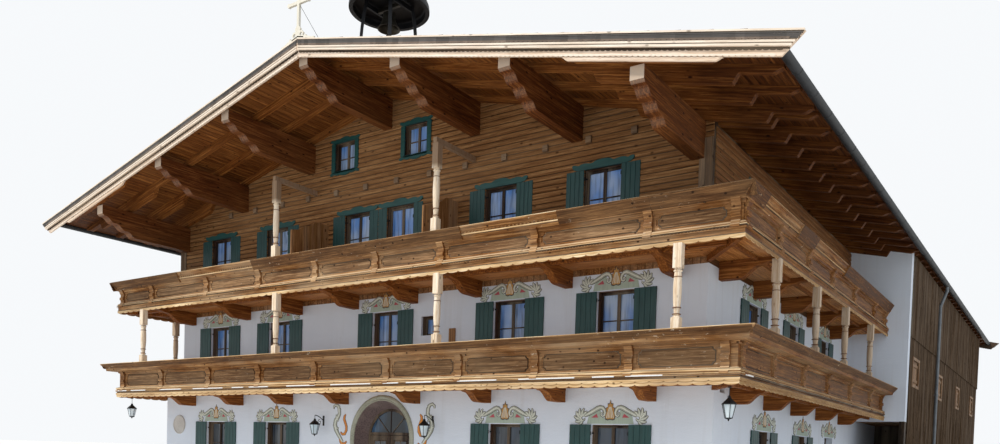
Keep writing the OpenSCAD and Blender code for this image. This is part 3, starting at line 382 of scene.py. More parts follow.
class RepeatTree:
    """A node tree that repeats a small shape along rows."""

    INPUTS = (
        ("Count", "NodeSocketInt"),
        ("Step", "NodeSocketVector"),
        ("Rows", "NodeSocketInt"),
        ("Row Step", "NodeSocketVector"),
        ("Scatter", "NodeSocketVector"),
        ("Seed", "NodeSocketInt"),
        ("Finish", "NodeSocketMaterial"),
    )

    def __init__(self) -> None:
        """Builds the tree."""
        tree = bpy.data.node_groups.new("repeat_in_rows", "GeometryNodeTree")
        face = tree.interface
        face.new_socket("Geometry", in_out="INPUT", socket_type="NodeSocketGeometry")
        self.sockets: dict[str, str] = {}
        for name, kind in self.INPUTS:
            socket = face.new_socket(name, in_out="INPUT", socket_type=kind)
            self.sockets[name] = socket.identifier
        face.new_socket("Geometry", in_out="OUTPUT", socket_type="NodeSocketGeometry")
        nodes = tree.nodes
        given, result = nodes.new("NodeGroupInput"), nodes.new("NodeGroupOutput")
        line, rows = nodes.new("GeometryNodeMeshLine"), nodes.new("GeometryNodeMeshLine")
        grid, copies = (nodes.new("GeometryNodeInstanceOnPoints") for _ in range(2))
        spread, real = (nodes.new("GeometryNodeRealizeInstances") for _ in range(2))
        chance = nodes.new("FunctionNodeRandomValue")
        chance.data_type = "FLOAT_VECTOR"
        back = nodes.new("ShaderNodeVectorMath")
        back.operation = "SCALE"
        back.inputs["Scale"].default_value = -1.0
        move, paint = nodes.new("GeometryNodeSetPosition"), nodes.new("GeometryNodeSetMaterial")
        for source, outlet, target, inlet in (
            (given, "Count", line, "Count"),
            (given, "Step", line, "Offset"),
            (given, "Rows", rows, "Count"),
            (given, "Row Step", rows, "Offset"),
            (rows, "Mesh", grid, "Points"),
            (line, "Mesh", grid, "Instance"),
            (grid, "Instances", spread, "Geometry"),
            (given, "Scatter", back, 0),
            (back, "Vector", chance, 0),
            (given, "Scatter", chance, 1),
            (given, "Seed", chance, "Seed"),
            (spread, "Geometry", move, "Geometry"),
            (chance, 0, move, "Offset"),
            (move, "Geometry", copies, "Points"),
            (given, "Geometry", copies, "Instance"),
            (copies, "Instances", real, "Geometry"),
            (real, "Geometry", paint, "Geometry"),
            (given, "Finish", paint, "Material"),
            (paint, "Geometry", result, "Geometry"),
        ):
            tree.links.new(source.outputs[outlet], target.inputs[inlet])
        self.tree = tree

    def repeat(
        self,
        name: str,
        shape: Draft,
        material: bpy.types.Material,
        count: int,
        step: Point,
        rows: int = 1,
        row_step: Point = (0.0, 0.0, 0.0),
        scatter: Point = (0.0, 0.0, 0.0),
        seed: int = 1,
    ) -> bpy.types.Object:
        """Repeats a shape and bakes the result into a plain mesh.

        Args:
            name: Name of the piece.
            shape: The shape at its first place.
            material: Its material.
            count: Number of copies in a row.
            step: From one copy to the next.
            rows: Number of rows.
            row_step: From one row to the next.
            scatter: Largest chance shift of a copy each way.
            seed: Seed of the shifts.

        Returns:
            The baked piece.
        """
        source = shape.piece(name + "_one")
        modifier = source.modifiers.new("repeat", "NODES")
        modifier.node_group = self.tree
        values = (count, step, rows, row_step, scatter, seed, material)
        for (label, _), value in zip(self.INPUTS, values):
            modifier[self.sockets[label]] = value
        graph = bpy.context.evaluated_depsgraph_get()
        mesh = bpy.data.meshes.new_from_object(source.evaluated_get(graph))
        mesh.name = name
        bpy.data.objects.remove(source)
        return link_object(name, mesh)


def join(name: str, parts: Sequence[bpy.types.Object], mirrored: bool = False) -> bpy.types.Object:
    """Makes one piece of several, and adds its mirror image where asked.

    Args:
        name: Name of the new piece.
        parts: The pieces to join; they are removed.
        mirrored: Whether the mirror image on the house's other side is added.

    Returns:
        The joined piece.
    """
    work = bmesh.new()
    for part in parts:
        work.from_mesh(part.data)
    if mirrored:
        copy = bmesh.ops.duplicate(work, geom=work.verts[:] + work.edges[:] + work.faces[:])
        fresh = copy["geom"]
        corners = [g for g in fresh if isinstance(g, bmesh.types.BMVert)]
        bmesh.ops.scale(work, vec=MIRROR, verts=corners)
        bmesh.ops.reverse_faces(work, faces=[g for g in fresh if isinstance(g, bmesh.types.BMFace)])
    mesh = bpy.data.meshes.new(name)
    work.to_mesh(mesh)
    work.free()
    for part in parts:
        bpy.data.objects.remove(part)
    return link_object(name, mesh)


class Grain(Enum):
    """The way the wood's grain runs."""

    WIDTH = "along the house's width"
    DEPTH = "from front to back"
    UP = "upright"
    ROUND = "round the balconies, turning at their corners"
    OUTWARD = "out from the walls"


class Surface:
    """A Principled material that is put together node by node."""

    def __init__(self, name: str, roughness: float = 0.6, metallic: float = 0.0) -> None:
        """Starts the material.

        Args:
            name: The material's name.
            roughness: Roughness where nothing else drives it.
            metallic: 1 for bare metal.
        """
        self.material = bpy.data.materials.new(name)
        self.material.use_nodes = True
        self.tree = self.material.node_tree
        self.tree.nodes.clear()
        output = self.tree.nodes.new("ShaderNodeOutputMaterial")
        self.shader = self.tree.nodes.new("ShaderNodeBsdfPrincipled")
        self.tree.links.new(self.shader.outputs["BSDF"], output.inputs["Surface"])
        self.shader.inputs["Roughness"].default_value = roughness
        self.shader.inputs["Metallic"].default_value = metallic
        self.place = self.tree.nodes.new("ShaderNodeTexCoord").outputs["Object"]

    def feed(self, socket: bpy.types.NodeSocket, value: object) -> None:
        """Links a socket to an output, or sets its number or colour."""
        if isinstance(value, bpy.types.NodeSocket):
            self.tree.links.new(value, socket)
        else:
            socket.default_value = value

    def math(self, operation: str, a: object, b: object = 0.0) -> bpy.types.NodeSocket:
        """Adds a Math node.

        Args:
            operation: Its operation.
            a: First number or output.
            b: Second number or output.

        Returns:
            Its output.
        """
        node = self.tree.nodes.new("ShaderNodeMath")
        node.operation = operation
        self.feed(node.inputs[0], a)
        self.feed(node.inputs[1], b)
        return node.outputs[0]

    def times(self, a: object, b: object) -> bpy.types.NodeSocket:
        """The product of two numbers or outputs."""
        return self.math("MULTIPLY", a, b)

    def plus(self, a: object, b: object) -> bpy.types.NodeSocket:
        """The sum of two numbers or outputs."""
        return self.math("ADD", a, b)

    def size(self, a: object) -> bpy.types.NodeSocket:
        """A number or output without its sign."""
        return self.math("ABSOLUTE", a)

    def axis(self, letter: str) -> bpy.types.NodeSocket:
        """The X, Y or Z part of the object's coordinates."""
        node = self.tree.nodes.new("ShaderNodeSeparateXYZ")
        self.feed(node.inputs[0], self.place)
        return node.outputs[letter]

    def stretched(self, scale: object) -> bpy.types.NodeSocket:
        """The object's coordinates times a scale for each axis, given as numbers or an output."""
        node = self.tree.nodes.new("ShaderNodeVectorMath")
        node.operation = "MULTIPLY"
        self.feed(node.inputs[0], self.place)
        self.feed(node.inputs[1], scale)
        return node.outputs[0]

    def noise(
        self, scale: float, detail: float = 3.0, rough: float = 0.5, vector: object = None
    ) -> bpy.types.NodeSocket:
        """Adds a noise.

        Args:
            scale: Its scale in the vector's units.
            detail: Its octaves.
            rough: Its roughness.
            vector: Output to read instead of the object's coordinates.

        Returns:
            Its value.
        """
        node = self.tree.nodes.new("ShaderNodeTexNoise")
        self.feed(node.inputs["Vector"], self.place if vector is None else vector)
        node.inputs["Scale"].default_value = scale
        node.inputs["Detail"].default_value = detail
        node.inputs["Roughness"].default_value = rough
        return node.outputs["Fac"]

    def cells(self, scale: float, vector: object = None, feature: str = "F1") -> bpy.types.Node:
        """Adds a Voronoi node of a scale on a vector, and returns the node."""
        node = self.tree.nodes.new("ShaderNodeTexVoronoi")
        node.feature = feature
        self.feed(node.inputs["Vector"], self.place if vector is None else vector)
        node.inputs["Scale"].default_value = scale
        return node

    def ramp(
        self, value: bpy.types.NodeSocket, stops: Sequence[tuple[float, Color]]
    ) -> bpy.types.NodeSocket:
        """Turns a value into colours.

        Args:
            value: The value.
            stops: Places and colours, from low to high.

        Returns:
            The colour.
        """
        node = self.tree.nodes.new("ShaderNodeValToRGB")
        band = node.color_ramp
        while len(band.elements) < len(stops):
            band.elements.new(0.5)
        for element, (place, color) in zip(band.elements, stops):
            element.position = place
            element.color = (*color, 1.0)
        self.feed(node.inputs[0], value)
        return node.outputs["Color"]

    def window(self, value: object, low: float, high: float) -> bpy.types.NodeSocket:
        """Stretches a value so that low gives 0 and high gives 1, and returns it."""
        node = self.tree.nodes.new("ShaderNodeMapRange")
        self.feed(node.inputs["Value"], value)
        node.inputs["From Min"].default_value = low
        node.inputs["From Max"].default_value = high
        return node.outputs["Result"]

    def mix(self, factor: object, a: object, b: object, blend: str = "MIX") -> bpy.types.NodeSocket:
        """Mixes two colours.

        Args:
            factor: How much of the second.
            a: First colour or output.
            b: Second colour or output.
            blend: The way of mixing.

        Returns:
            The mixed colour.
        """
        node = self.tree.nodes.new("ShaderNodeMix")
        node.data_type = "RGBA"
        node.blend_type = blend
        self.feed(node.inputs[0], factor)
        self.feed(node.inputs[6], a if isinstance(a, bpy.types.NodeSocket) else (*a, 1.0))
        self.feed(node.inputs[7], b if isinstance(b, bpy.types.NodeSocket) else (*b, 1.0))
        return node.outputs[2]

    def lay(
        self, color: object, value: object, span: Flat, tint: object, share: object = 1.0, blend: str = "MIX"
    ) -> bpy.types.NodeSocket:
        """Lays a tint over a colour where a value runs through a span.

        Args:
            color: The colour below.
            value: What decides where the tint lies.
            span: The value without tint and the value with the whole share of it.
            tint: The colour on top.
            share: The largest share of the tint, as a number or an output.
            blend: The way of mixing.

        Returns:
            The new colour.
        """
        factor = self.window(value, *span)
        if share != 1.0:
            factor = self.times(factor, share)
        return self.mix(factor, color, tint, blend)

    def facing(self, letter: str) -> bpy.types.NodeSocket:
        """How far a face looks along X, Y or Z, from -1 to 1."""
        geometry = self.tree.nodes.new("ShaderNodeNewGeometry")
        node = self.tree.nodes.new("ShaderNodeSeparateXYZ")
        self.feed(node.inputs[0], geometry.outputs["Normal"])
        return node.outputs[letter]

    def follow_slope(self) -> None:
        """Lifts the coordinates with the roof, so that a pattern runs down its slopes."""
        node = self.tree.nodes.new("ShaderNodeCombineXYZ")
        rise = self.times(self.size(self.axis("X")), Size.SLOPE)
        for letter in "XY":
            self.feed(node.inputs[letter], self.axis(letter))
        self.feed(node.inputs["Z"], self.plus(self.axis("Z"), rise))
        self.place = node.outputs[0]

    def finish(
        self,
        color: object,
        roughness: object = None,
        height: object = None,
        depth: float = 0.003,
    ) -> bpy.types.Material:
        """Connects the colour, roughness and bump.

        Args:
            color: The base colour.
            roughness: The roughness, where it varies.
            height: The height for the bump, from 0 to 1.
            depth: What the height is worth, in metres.

        Returns:
            The material.
        """
        self.feed(self.shader.inputs["Base Color"], color)
        if roughness is not None:
            self.feed(self.shader.inputs["Roughness"], roughness)
        if height is not None:
            bump = self.tree.nodes.new("ShaderNodeBump")
            bump.inputs["Distance"].default_value = depth
            bump.inputs["Strength"].default_value = 0.8
            self.feed(bump.inputs["Height"], height)
            self.tree.links.new(bump.outputs["Normal"], self.shader.inputs["Normal"])
        return self.material


@dataclass(frozen=True)
class Wood:
    """Timber with grain, knots and boards of slightly different tone, with painted light and shade on some faces where
    asked.
    """

    name: str
    tones: Tones
    grain: Grain
    board: float = 0.0
    # Tint of the weathering patches, and also the colour of the painted highlight on faces that look up.
    weathering_and_highlight_tint: Color = (0.62, 0.5, 0.36)
    # Share of a painted highlight laid on faces that look up.
    painted_top_highlight: float = 0.0
    weather: float = 0.3
    roughness: float = 0.62
    chips: float = 0.0
    cracks: float = 0.0
    gloss: float = 0.15
    ends: float = 0.0
    sloped: bool = False
    # Height above which the post heads darken as weathered; posts beyond the corners darken too, as painted shade.
    aged_heads_and_shaded_sides: float = 0.0
    board_axis: str = ""
    # A painted shade multiplied onto faces that look along X, towards the house's sides.
    side: Color = (1.0, 1.0, 1.0)
    # Share of painted shade over the roof's underside beyond the side walls.
    eaves_painted_shade: float = 0.0
    rear_shade: float = 0.0

    def stretch(self, along: float, across: float, turning: Point) -> Point:
        """The stretch of a pattern along and across the grain, or the one for grain that turns."""
        if self.grain in (Grain.ROUND, Grain.OUTWARD):
            return turning
        x, y, z = (along if self.grain is way else across for way in (Grain.WIDTH, Grain.DEPTH, Grain.UP))
        return (x, y, z)

    def grain_scale(self, s: Surface) -> object:
        """The stretch of the fibres, which changes where the grain turns."""
        along, across = 0.4, 12.0
        width, depth = (along, across, across), (across, along, across)
        if self.grain is Grain.OUTWARD:
            beside = s.math("GREATER_THAN", s.size(s.axis("X")), Size.HALF)
            return self.choose(s, beside, depth, width)
        if self.grain is Grain.ROUND:
            corner = s.plus(s.size(s.axis("X")), s.axis("Y"))
            edge = Size.HALF + Size.SIDE_OUT - Size.BALCONY_OUT + Size.FRONT
            return self.choose(s, s.math("GREATER_THAN", corner, edge), width, depth)
        return self.stretch(along, across, width)

    @staticmethod
    def choose(s: Surface, factor: object, a: Point, b: Point) -> bpy.types.NodeSocket:
        """Chooses between two stretches by a factor of 0 or 1."""
        node = s.tree.nodes.new("ShaderNodeMix")
        node.data_type = "VECTOR"
        s.feed(node.inputs[0], factor)
        node.inputs[4].default_value = a
        node.inputs[5].default_value = b
        return node.outputs[1]

    def make(self) -> bpy.types.Material:
        """Builds the material."""
        s = Surface(self.name, self.roughness)
        s.shader.inputs["Specular IOR Level"].default_value = self.gloss
        if self.sloped:
            s.follow_slope()
        vector = s.stretched(self.grain_scale(s))
        fibre = s.noise(2.2, 6.0, 0.7, vector)
        color = self.weathering_and_painted_light(s, self.timber(s, fibre, vector))
        rough = s.plus(s.window(fibre, 0.0, 2.2), self.roughness - 0.2)
        return s.finish(color, rough, fibre, 0.004)

    def timber(self, s: Surface, fibre: object, vector: object) -> object:
        """The colour of the wood itself: fibres, veins, stains, knots, cracks and boards."""
        dark, middle, light = self.tones
        stain = (0.35, 5.0) if self.grain is Grain.UP else (0.5, 2.0)
        tone = s.noise(0.55, 3.0, 0.55, s.stretched(self.stretch(*stain, (1.0, 1.0, 1.5))))
        color = s.ramp(fibre, ((0.34, dark), (0.5, middle), (0.64, light)))
        color = s.lay(color, s.noise(8.0, 3.0, 0.6, vector), (0.54, 0.68), dark)
        color = s.lay(color, tone, (0.4, 0.7), self.weathering_and_highlight_tint, self.weather)
        knots = s.cells(1.6, s.stretched(self.stretch(1.6, 3.2, (2.4, 2.4, 3.2)))).outputs["Distance"]
        color = s.lay(color, knots, (0.15, 0.07), dimmed(dark, 0.5))
        if self.cracks:
            split = s.noise(1.1, 2.0, 0.7, s.stretched(self.stretch(0.7, 20.0, (3.0, 3.0, 20.0))))
            color = s.lay(color, split, (0.6, 0.66), dimmed(dark, 0.3), self.cracks)
        return self.boarded(s, color) if self.board else color

    def boarded(self, s: Surface, color: object) -> object:
        """Parts the wood into boards with dark seams, each of its own tone."""
        dark = self.tones[0]
        letter = self.board_axis or {Grain.DEPTH: "X", Grain.UP: "X"}.get(self.grain, "Z")
        place = s.math("DIVIDE", s.axis(letter), self.board)
        from_middle = s.size(s.math("SUBTRACT", s.math("FRACT", place), 0.5))
        color = s.lay(color, from_middle, (0.38, 0.5), dimmed(dark, 0.35), 0.75)
        node = s.tree.nodes.new("ShaderNodeTexWhiteNoise")
        node.noise_dimensions = "1D"
        s.feed(node.inputs["W"], s.math("FLOOR", place))
        shade = s.window(node.outputs["Value"], -0.6, 1.0)
        return s.mix(s.times(s.math("SUBTRACT", 1.0, shade), 0.55), color, dark)

    def weathering_and_painted_light(self, s: Surface, color: object) -> object:
        """Adds pale ends, aged post heads and chips, and painted light and shade: lit tops, shaded sides, eaves, rear
        verge and side posts.
        """
        # Painted highlight: faces that look up take the paler tint.
        if self.painted_top_highlight:
            color = s.lay(color, s.facing("Z"), (0.35, 0.8), self.weathering_and_highlight_tint, self.painted_top_highlight)
        if self.ends:
            tip = s.math("MAXIMUM", s.window(s.size(s.axis("Y")), *Size.PURLIN_TIP), 0.25)
            color = s.lay(color, s.size(s.facing("Y")), (0.5, 0.95), (0.62, 0.5, 0.39), s.times(tip, self.ends))
        # Painted shade under the side eaves, beyond the walls.
        if self.eaves_painted_shade:
            outer = (Size.HALF, Size.HALF + 0.6)
            color = s.lay(color, s.size(s.axis("X")), outer, (0.3, 0.24, 0.18), self.eaves_painted_shade, "MULTIPLY")
        if self.rear_shade:
            hidden = s.math("MAXIMUM", s.window(s.facing("Y"), -0.5, -0.8), s.window(s.facing("Z"), -0.3, -0.6))
            shade = s.times(hidden, self.rear_shade)
            color = s.lay(color, s.axis("Y"), Size.REAR_VERGE, (0.07, 0.045, 0.03), shade)
        # Post heads above the height darken as weathered; posts beyond the corners darken as painted shade.
        if self.aged_heads_and_shaded_sides:
            above = s.window(s.axis("Z"), self.aged_heads_and_shaded_sides, self.aged_heads_and_shaded_sides + 0.15)
            side_post_shade = s.times(s.window(s.size(s.axis("X")), *Size.CORNER_POST), 0.65)
            color = s.mix(s.times(s.math("MAXIMUM", above, side_post_shade), 0.85), color, (0.2, 0.11, 0.055))
        if self.chips:
            flakes = s.noise(11.0, 5.0, 0.75, s.stretched((0.6, 0.6, 1.6)))
            where = s.times(s.window(s.noise(0.7, 3.0, 0.6), 0.47, 0.6), self.chips)
            color = s.lay(color, flakes, (0.62, 0.67), (0.85, 0.74, 0.58), where)
        # Painted shade on faces that look towards the house's sides.
        if min(self.side) < 1.0:
            color = s.lay(color, s.size(s.facing("X")), (0.6, 0.9), self.side, 1.0, "MULTIPLY")
        return color


@dataclass(frozen=True)
class Plaster:
    """Brushed lime render with faint stains near the ground."""

    name: str
    color: Color
    shade: Color
    stain: Color

    def make(self) -> bpy.types.Material:
        """Builds the material."""
        s = Surface(self.name, 0.9)
        broad = s.noise(0.35, 4.0, 0.6)
        brushed = s.noise(3.0, 5.0, 0.6, s.stretched((1.0, 1.0, 3.5)))
        grit = s.noise(45.0, 3.0, 0.6)
        color = s.lay(self.color, broad, (0.35, 0.75), self.shade)
        splash = s.plus(s.axis("Z"), s.times(brushed, 0.9))
        color = s.lay(color, splash, (1.1, 0.45), self.stain, 0.55)
        rain = s.noise(1.6, 4.0, 0.6, s.stretched((3.0, 3.0, 0.18)))
        color = s.lay(color, rain, (0.55, 0.78), self.stain, 0.22)
        height = s.plus(s.times(brushed, 0.7), s.times(grit, 0.3))
        return s.finish(color, None, height, 0.012)


@dataclass(frozen=True)
class Paint:
    """Brushed paint on timber, with its worn spots."""

    name: str
    color: Color
    shade: Color
    worn: Color
    wear: float = 0.25
    roughness: float = 0.5
    grain: Point = (12.0, 12.0, 1.2)

    def make(self) -> bpy.types.Material:
        """Builds the material."""
        s = Surface(self.name, self.roughness)
        streak = s.noise(1.8, 4.0, 0.6, s.stretched(self.grain))
        color = s.lay(self.color, streak, (0.35, 0.75), self.shade)
        color = s.lay(color, s.noise(0.9, 3.0, 0.5), (0.45, 0.75), self.shade, 0.35)
        color = s.lay(color, s.noise(16.0, 4.0, 0.7), (0.66, 0.74), self.worn, self.wear)
        return s.finish(color, s.plus(s.times(streak, 0.3), self.roughness - 0.15), streak, 0.002)


@dataclass(frozen=True)
class Stone:
    """Grained or speckled stone."""

    name: str
    color: Color
    speck: Color
    seam: Color
    scale: float = 30.0

    def make(self) -> bpy.types.Material:
        """Builds the material."""
        s = Surface(self.name, 0.75)
        specks = s.cells(self.scale).outputs["Distance"]
        cloud = s.noise(2.5, 5.0, 0.6)
        color = s.lay(self.color, specks, (0.45, 0.2), self.speck)
        color = s.lay(color, cloud, (0.45, 0.75), self.seam)
        height = s.plus(s.times(specks, 0.5), s.times(cloud, 0.5))
        return s.finish(color, None, height, 0.005)


@dataclass(frozen=True)
class Metal:
    """Iron, sheet or bell metal, more or less dull."""

    name: str
    color: Color
    dull: Color
    roughness: float
    metallic: float

    def make(self) -> bpy.types.Material:
        """Builds the material."""
        s = Surface(self.name, self.roughness, self.metallic)
        cloud = s.noise(3.0, 5.0, 0.65)
        fine = s.noise(40.0, 3.0, 0.6)
        color = s.lay(self.color, cloud, (0.4, 0.75), self.dull)
        rough = s.plus(s.times(cloud, 0.3), self.roughness - 0.15)
        return s.finish(color, rough, fine, 0.0008)


@dataclass(frozen=True)
class Glass:
    """A pane with a painted reflection of the sky, and a net curtain in folds behind it with painted shade of the dark
    room between the folds.
    """

    name: str
    sky: Color
    dark_room_shade: Color
    cloth: Color

    def make(self) -> bpy.types.Material:
        """Builds the material."""
        s = Surface(self.name, 0.05)
        patches = s.noise(1.3, 2.0, 0.5, s.stretched((1.0, 1.0, 0.7)))
        folds = s.noise(9.0, 2.0, 0.5, s.stretched((1.6, 1.6, 0.12)))
        # Painted reflection of the sky in patches over the curtain, then painted shade of the dark room along the
        # folds.
        color = s.lay(self.cloth, patches, (0.4, 0.62), self.sky)
        color = s.lay(color, folds, (0.45, 0.68), self.dark_room_shade, 0.55)
        s.shader.inputs["Specular IOR Level"].default_value = 0.5
        return s.finish(color, None, s.noise(2.0, 1.0, 0.5), 0.002)


@dataclass(frozen=True)
class Shingle:
    """Split shingles, each with its own tone."""

    name: str
    dark: Color
    light: Color
    moss: Color

    def make(self) -> bpy.types.Material:
        """Builds the material."""
        s = Surface(self.name, 0.85)
        each = s.cells(1.0, s.stretched((3.0, 5.0, 0.0)))
        split = s.noise(3.0, 5.0, 0.6, s.stretched((1.0, 14.0, 1.0)))
        tone = s.tree.nodes.new("ShaderNodeSeparateColor")
        s.feed(tone.inputs[0], each.outputs["Color"])
        color = s.mix(tone.outputs[0], self.dark, self.light)
        color = s.lay(color, split, (0.5, 0.8), self.dark)
        color = s.lay(color, s.noise(0.5), (0.55, 0.75), self.moss, 0.4)
        return s.finish(color, None, split, 0.006)


class Palette:
    """All of the chalet's finishes, made once."""

    def __init__(self) -> None:
        """Makes every material."""
        self.make_timbers()
        self.make_walls_and_paints()
        self.make_stone_metal_and_glass()

    def make_timbers(self) -> None:
        """Makes the woods, from the balconies to the doors."""
        gold = ((0.1, 0.034, 0.008), (0.25, 0.105, 0.03), (0.52, 0.27, 0.1))
        grey = ((0.07, 0.03, 0.011), (0.185, 0.092, 0.038), (0.42, 0.25, 0.125))
        # Soffit tones: larch's own colour, made more golden with painted warm light bounced up from below.
        soffit = ((0.065, 0.016, 0.003), (0.2, 0.062, 0.011), (0.42, 0.17, 0.042))
        orange = ((0.2, 0.06, 0.01), (0.48, 0.19, 0.045), (0.72, 0.36, 0.11))
        logs = ((0.14, 0.055, 0.016), (0.28, 0.13, 0.047), (0.47, 0.26, 0.11))
        log_core_shade = ((0.01, 0.004, 0.001), (0.03, 0.01, 0.003), (0.06, 0.024, 0.008))
        beams = ((0.042, 0.01, 0.002), (0.12, 0.033, 0.007), (0.27, 0.1, 0.028))
        beam_end = ((0.06, 0.025, 0.01), (0.13, 0.064, 0.028), (0.26, 0.15, 0.075))
        barn = ((0.016, 0.009, 0.005), (0.06, 0.037, 0.022), (0.19, 0.13, 0.085))
        barn_window = ((0.07, 0.03, 0.011), (0.18, 0.09, 0.04), (0.38, 0.23, 0.125))
        cream = ((0.5, 0.3, 0.13), (0.78, 0.56, 0.31), (0.94, 0.78, 0.53))
        whitish = ((0.5, 0.35, 0.25), (0.78, 0.62, 0.49), (0.92, 0.8, 0.68))
        edge_white = ((0.66, 0.53, 0.42), (0.88, 0.76, 0.64), (0.96, 0.87, 0.76))
        turned = ((0.6, 0.42, 0.27), (0.9, 0.76, 0.58), (0.97, 0.88, 0.76))
        box = ((0.045, 0.017, 0.005), (0.12, 0.052, 0.018), (0.28, 0.14, 0.055))
        corner = ((0.05, 0.02, 0.008), (0.11, 0.052, 0.022), (0.22, 0.12, 0.06))
        gap = ((0.015, 0.008, 0.005), (0.035, 0.02, 0.012), (0.08, 0.05, 0.03))
        oak = ((0.009, 0.004, 0.002), (0.024, 0.011, 0.007), (0.055, 0.027, 0.016))
        casement = ((0.012, 0.007, 0.005), (0.028, 0.016, 0.011), (0.055, 0.032, 0.022))
        reveal = ((0.035, 0.017, 0.01), (0.075, 0.04, 0.026), (0.13, 0.075, 0.048))
        # The side tints below are painted shade on faces that look towards the house's sides.
        shade = (0.58, 0.44, 0.3)
        course = {"board": 0.13, "board_axis": "Z", "cracks": 0.5, "weathering_and_highlight_tint": (0.45, 0.27, 0.13)}
        eaves = {"weathering_and_highlight_tint": (0.36, 0.15, 0.045), "eaves_painted_shade": 0.8}
        tip = {"sloped": True, "rear_shade": 1.0}
        self.parapet = Wood(
            "larch_parapet", gold, Grain.ROUND, weathering_and_highlight_tint=(0.86, 0.68, 0.44), painted_top_highlight=0.8, chips=0.8, side=shade
        ).make()
        self.panel = Wood(
            "larch_panel_weathered", grey, Grain.ROUND, weathering_and_highlight_tint=(0.38, 0.27, 0.16), chips=0.5, side=(0.72, 0.56, 0.4)
        ).make()
        self.pale_trim = Wood(
            "larch_trim_pale", cream, Grain.ROUND, weathering_and_highlight_tint=(0.36, 0.21, 0.1), weather=0.8, side=(0.5, 0.4, 0.28)
        ).make()
        self.box_board = Wood(
            "larch_box_board", box, Grain.ROUND, weathering_and_highlight_tint=(0.26, 0.16, 0.08), chips=0.8, side=shade
        ).make()
        self.deck = Wood("larch_deck", orange, Grain.ROUND).make()
        self.console = Wood("larch_console", soffit, Grain.OUTWARD, weathering_and_highlight_tint=(0.3, 0.12, 0.035)).make()
        self.post = Wood("larch_post", turned, Grain.UP, weather=0.05, aged_heads_and_shaded_sides=8.1).make()
        self.corner_board = Wood("corner_board", corner, Grain.UP).make()
        self.post_ring = Wood("post_ring_dark", beams, Grain.WIDTH).make()
        self.screen = Wood("larch_screen", logs, Grain.UP, board=0.16).make()
        self.log_front = Wood("log_front", logs, Grain.WIDTH, **course).make()
        self.log_side = Wood("log_side", logs, Grain.DEPTH, side=(0.75, 0.62, 0.5), **course).make()
        # Near-black log wall behind the timbers: painted shade in the chinks between them.
        self.log_core_shade = Wood("log_core_shade", log_core_shade, Grain.WIDTH).make()
        self.purlin = Wood(
            "larch_purlin", beams, Grain.DEPTH, weathering_and_highlight_tint=(0.26, 0.11, 0.035), cracks=0.6, ends=0.8
        ).make()
        self.beam_end = Wood("larch_beam_end", beam_end, Grain.WIDTH).make()
        self.rafter = Wood("larch_rafter", soffit, Grain.WIDTH, sloped=True, **eaves).make()
        self.roof_board = Wood("roof_board", soffit, Grain.DEPTH, board=0.15, **eaves).make()
        self.verge = Wood(
            "larch_verge", whitish, Grain.WIDTH, weathering_and_highlight_tint=(0.74, 0.52, 0.33), weather=0.45, **tip
        ).make()
        self.verge_pale = Wood("larch_verge_pale", edge_white, Grain.WIDTH, **tip).make()
        self.verge_gap = Wood("verge_shadow_gap", gap, Grain.WIDTH, sloped=True).make()
        self.floor = Wood("floor_board", gold, Grain.DEPTH, board=0.18).make()
        self.barn = Wood(
            "barn_board", barn, Grain.UP, weathering_and_highlight_tint=(0.17, 0.13, 0.1), weather=0.7, cracks=0.8, gloss=0.0
        ).make()
        # A darker copy of the barn's tones on the wall behind the boards: painted shade in the gaps between them.
        dark, middle, light = (dimmed(tone, 0.4) for tone in barn)
        self.barn_core_shade = Wood("barn_core_shade", (dark, middle, light), Grain.UP).make()
        self.barn_window = Wood("barn_window_board", barn_window, Grain.UP).make()
        self.door = Wood("door_oak", oak, Grain.UP, roughness=0.4).make()
        self.sash = Wood("window_wood", casement, Grain.UP, roughness=0.4).make()
        self.lining = Wood("window_lining", reveal, Grain.UP).make()

    def make_walls_and_paints(self) -> None:
        """Makes the render, the painted boards and the colours of the ornaments."""
        # The render's blue tint is painted sky light of the shade that the walls stand in under the balconies.
        self.render = Plaster("lime_render", (0.72, 0.78, 0.87), (0.64, 0.7, 0.8), (0.46, 0.46, 0.45)).make()
        self.shutter = Paint("shutter_green", (0.006, 0.058, 0.056), (0.003, 0.034, 0.034), (0.05, 0.08, 0.07)).make()
        self.carved = Paint(
            "carved_green", (0.008, 0.075, 0.07), (0.004, 0.045, 0.042), (0.06, 0.1, 0.085), grain=(1.2, 1.2, 12.0)
        ).make()
        self.ivory = Paint("ivory_paint", (0.82, 0.79, 0.7), (0.68, 0.63, 0.52), (0.35, 0.27, 0.18)).make()
        self.flashing = Paint("flashing_white", (0.85, 0.86, 0.88), (0.7, 0.71, 0.74), (0.3, 0.3, 0.3)).make()
        self.fresco: dict[str, bpy.types.Material] = {}
        for name, color, shade, worn, wear in (
            ("grey", (0.44, 0.47, 0.4), (0.3, 0.33, 0.28), (0.6, 0.62, 0.55), 0.5),
            ("gold", (0.56, 0.33, 0.1), (0.36, 0.18, 0.06), (0.7, 0.6, 0.42), 0.5),
            ("pink", (0.5, 0.1, 0.13), (0.36, 0.07, 0.09), (0.6, 0.4, 0.38), 0.4),
            ("dark", (0.1, 0.085, 0.085), (0.06, 0.05, 0.05), (0.3, 0.28, 0.27), 0.3),
            ("green", (0.42, 0.5, 0.42), (0.33, 0.4, 0.34), (0.6, 0.62, 0.55), 0.4),
            ("light", (0.74, 0.77, 0.7), (0.62, 0.64, 0.58), (0.4, 0.42, 0.38), 0.4),
            ("orange", (0.74, 0.3, 0.06), (0.5, 0.17, 0.04), (0.8, 0.5, 0.25), 0.5),
        ):
            material = "fresco_outline" if name == "dark" else "fresco_" + name
            self.fresco[name] = Paint(material, color, shade, worn, wear, 0.9).make()

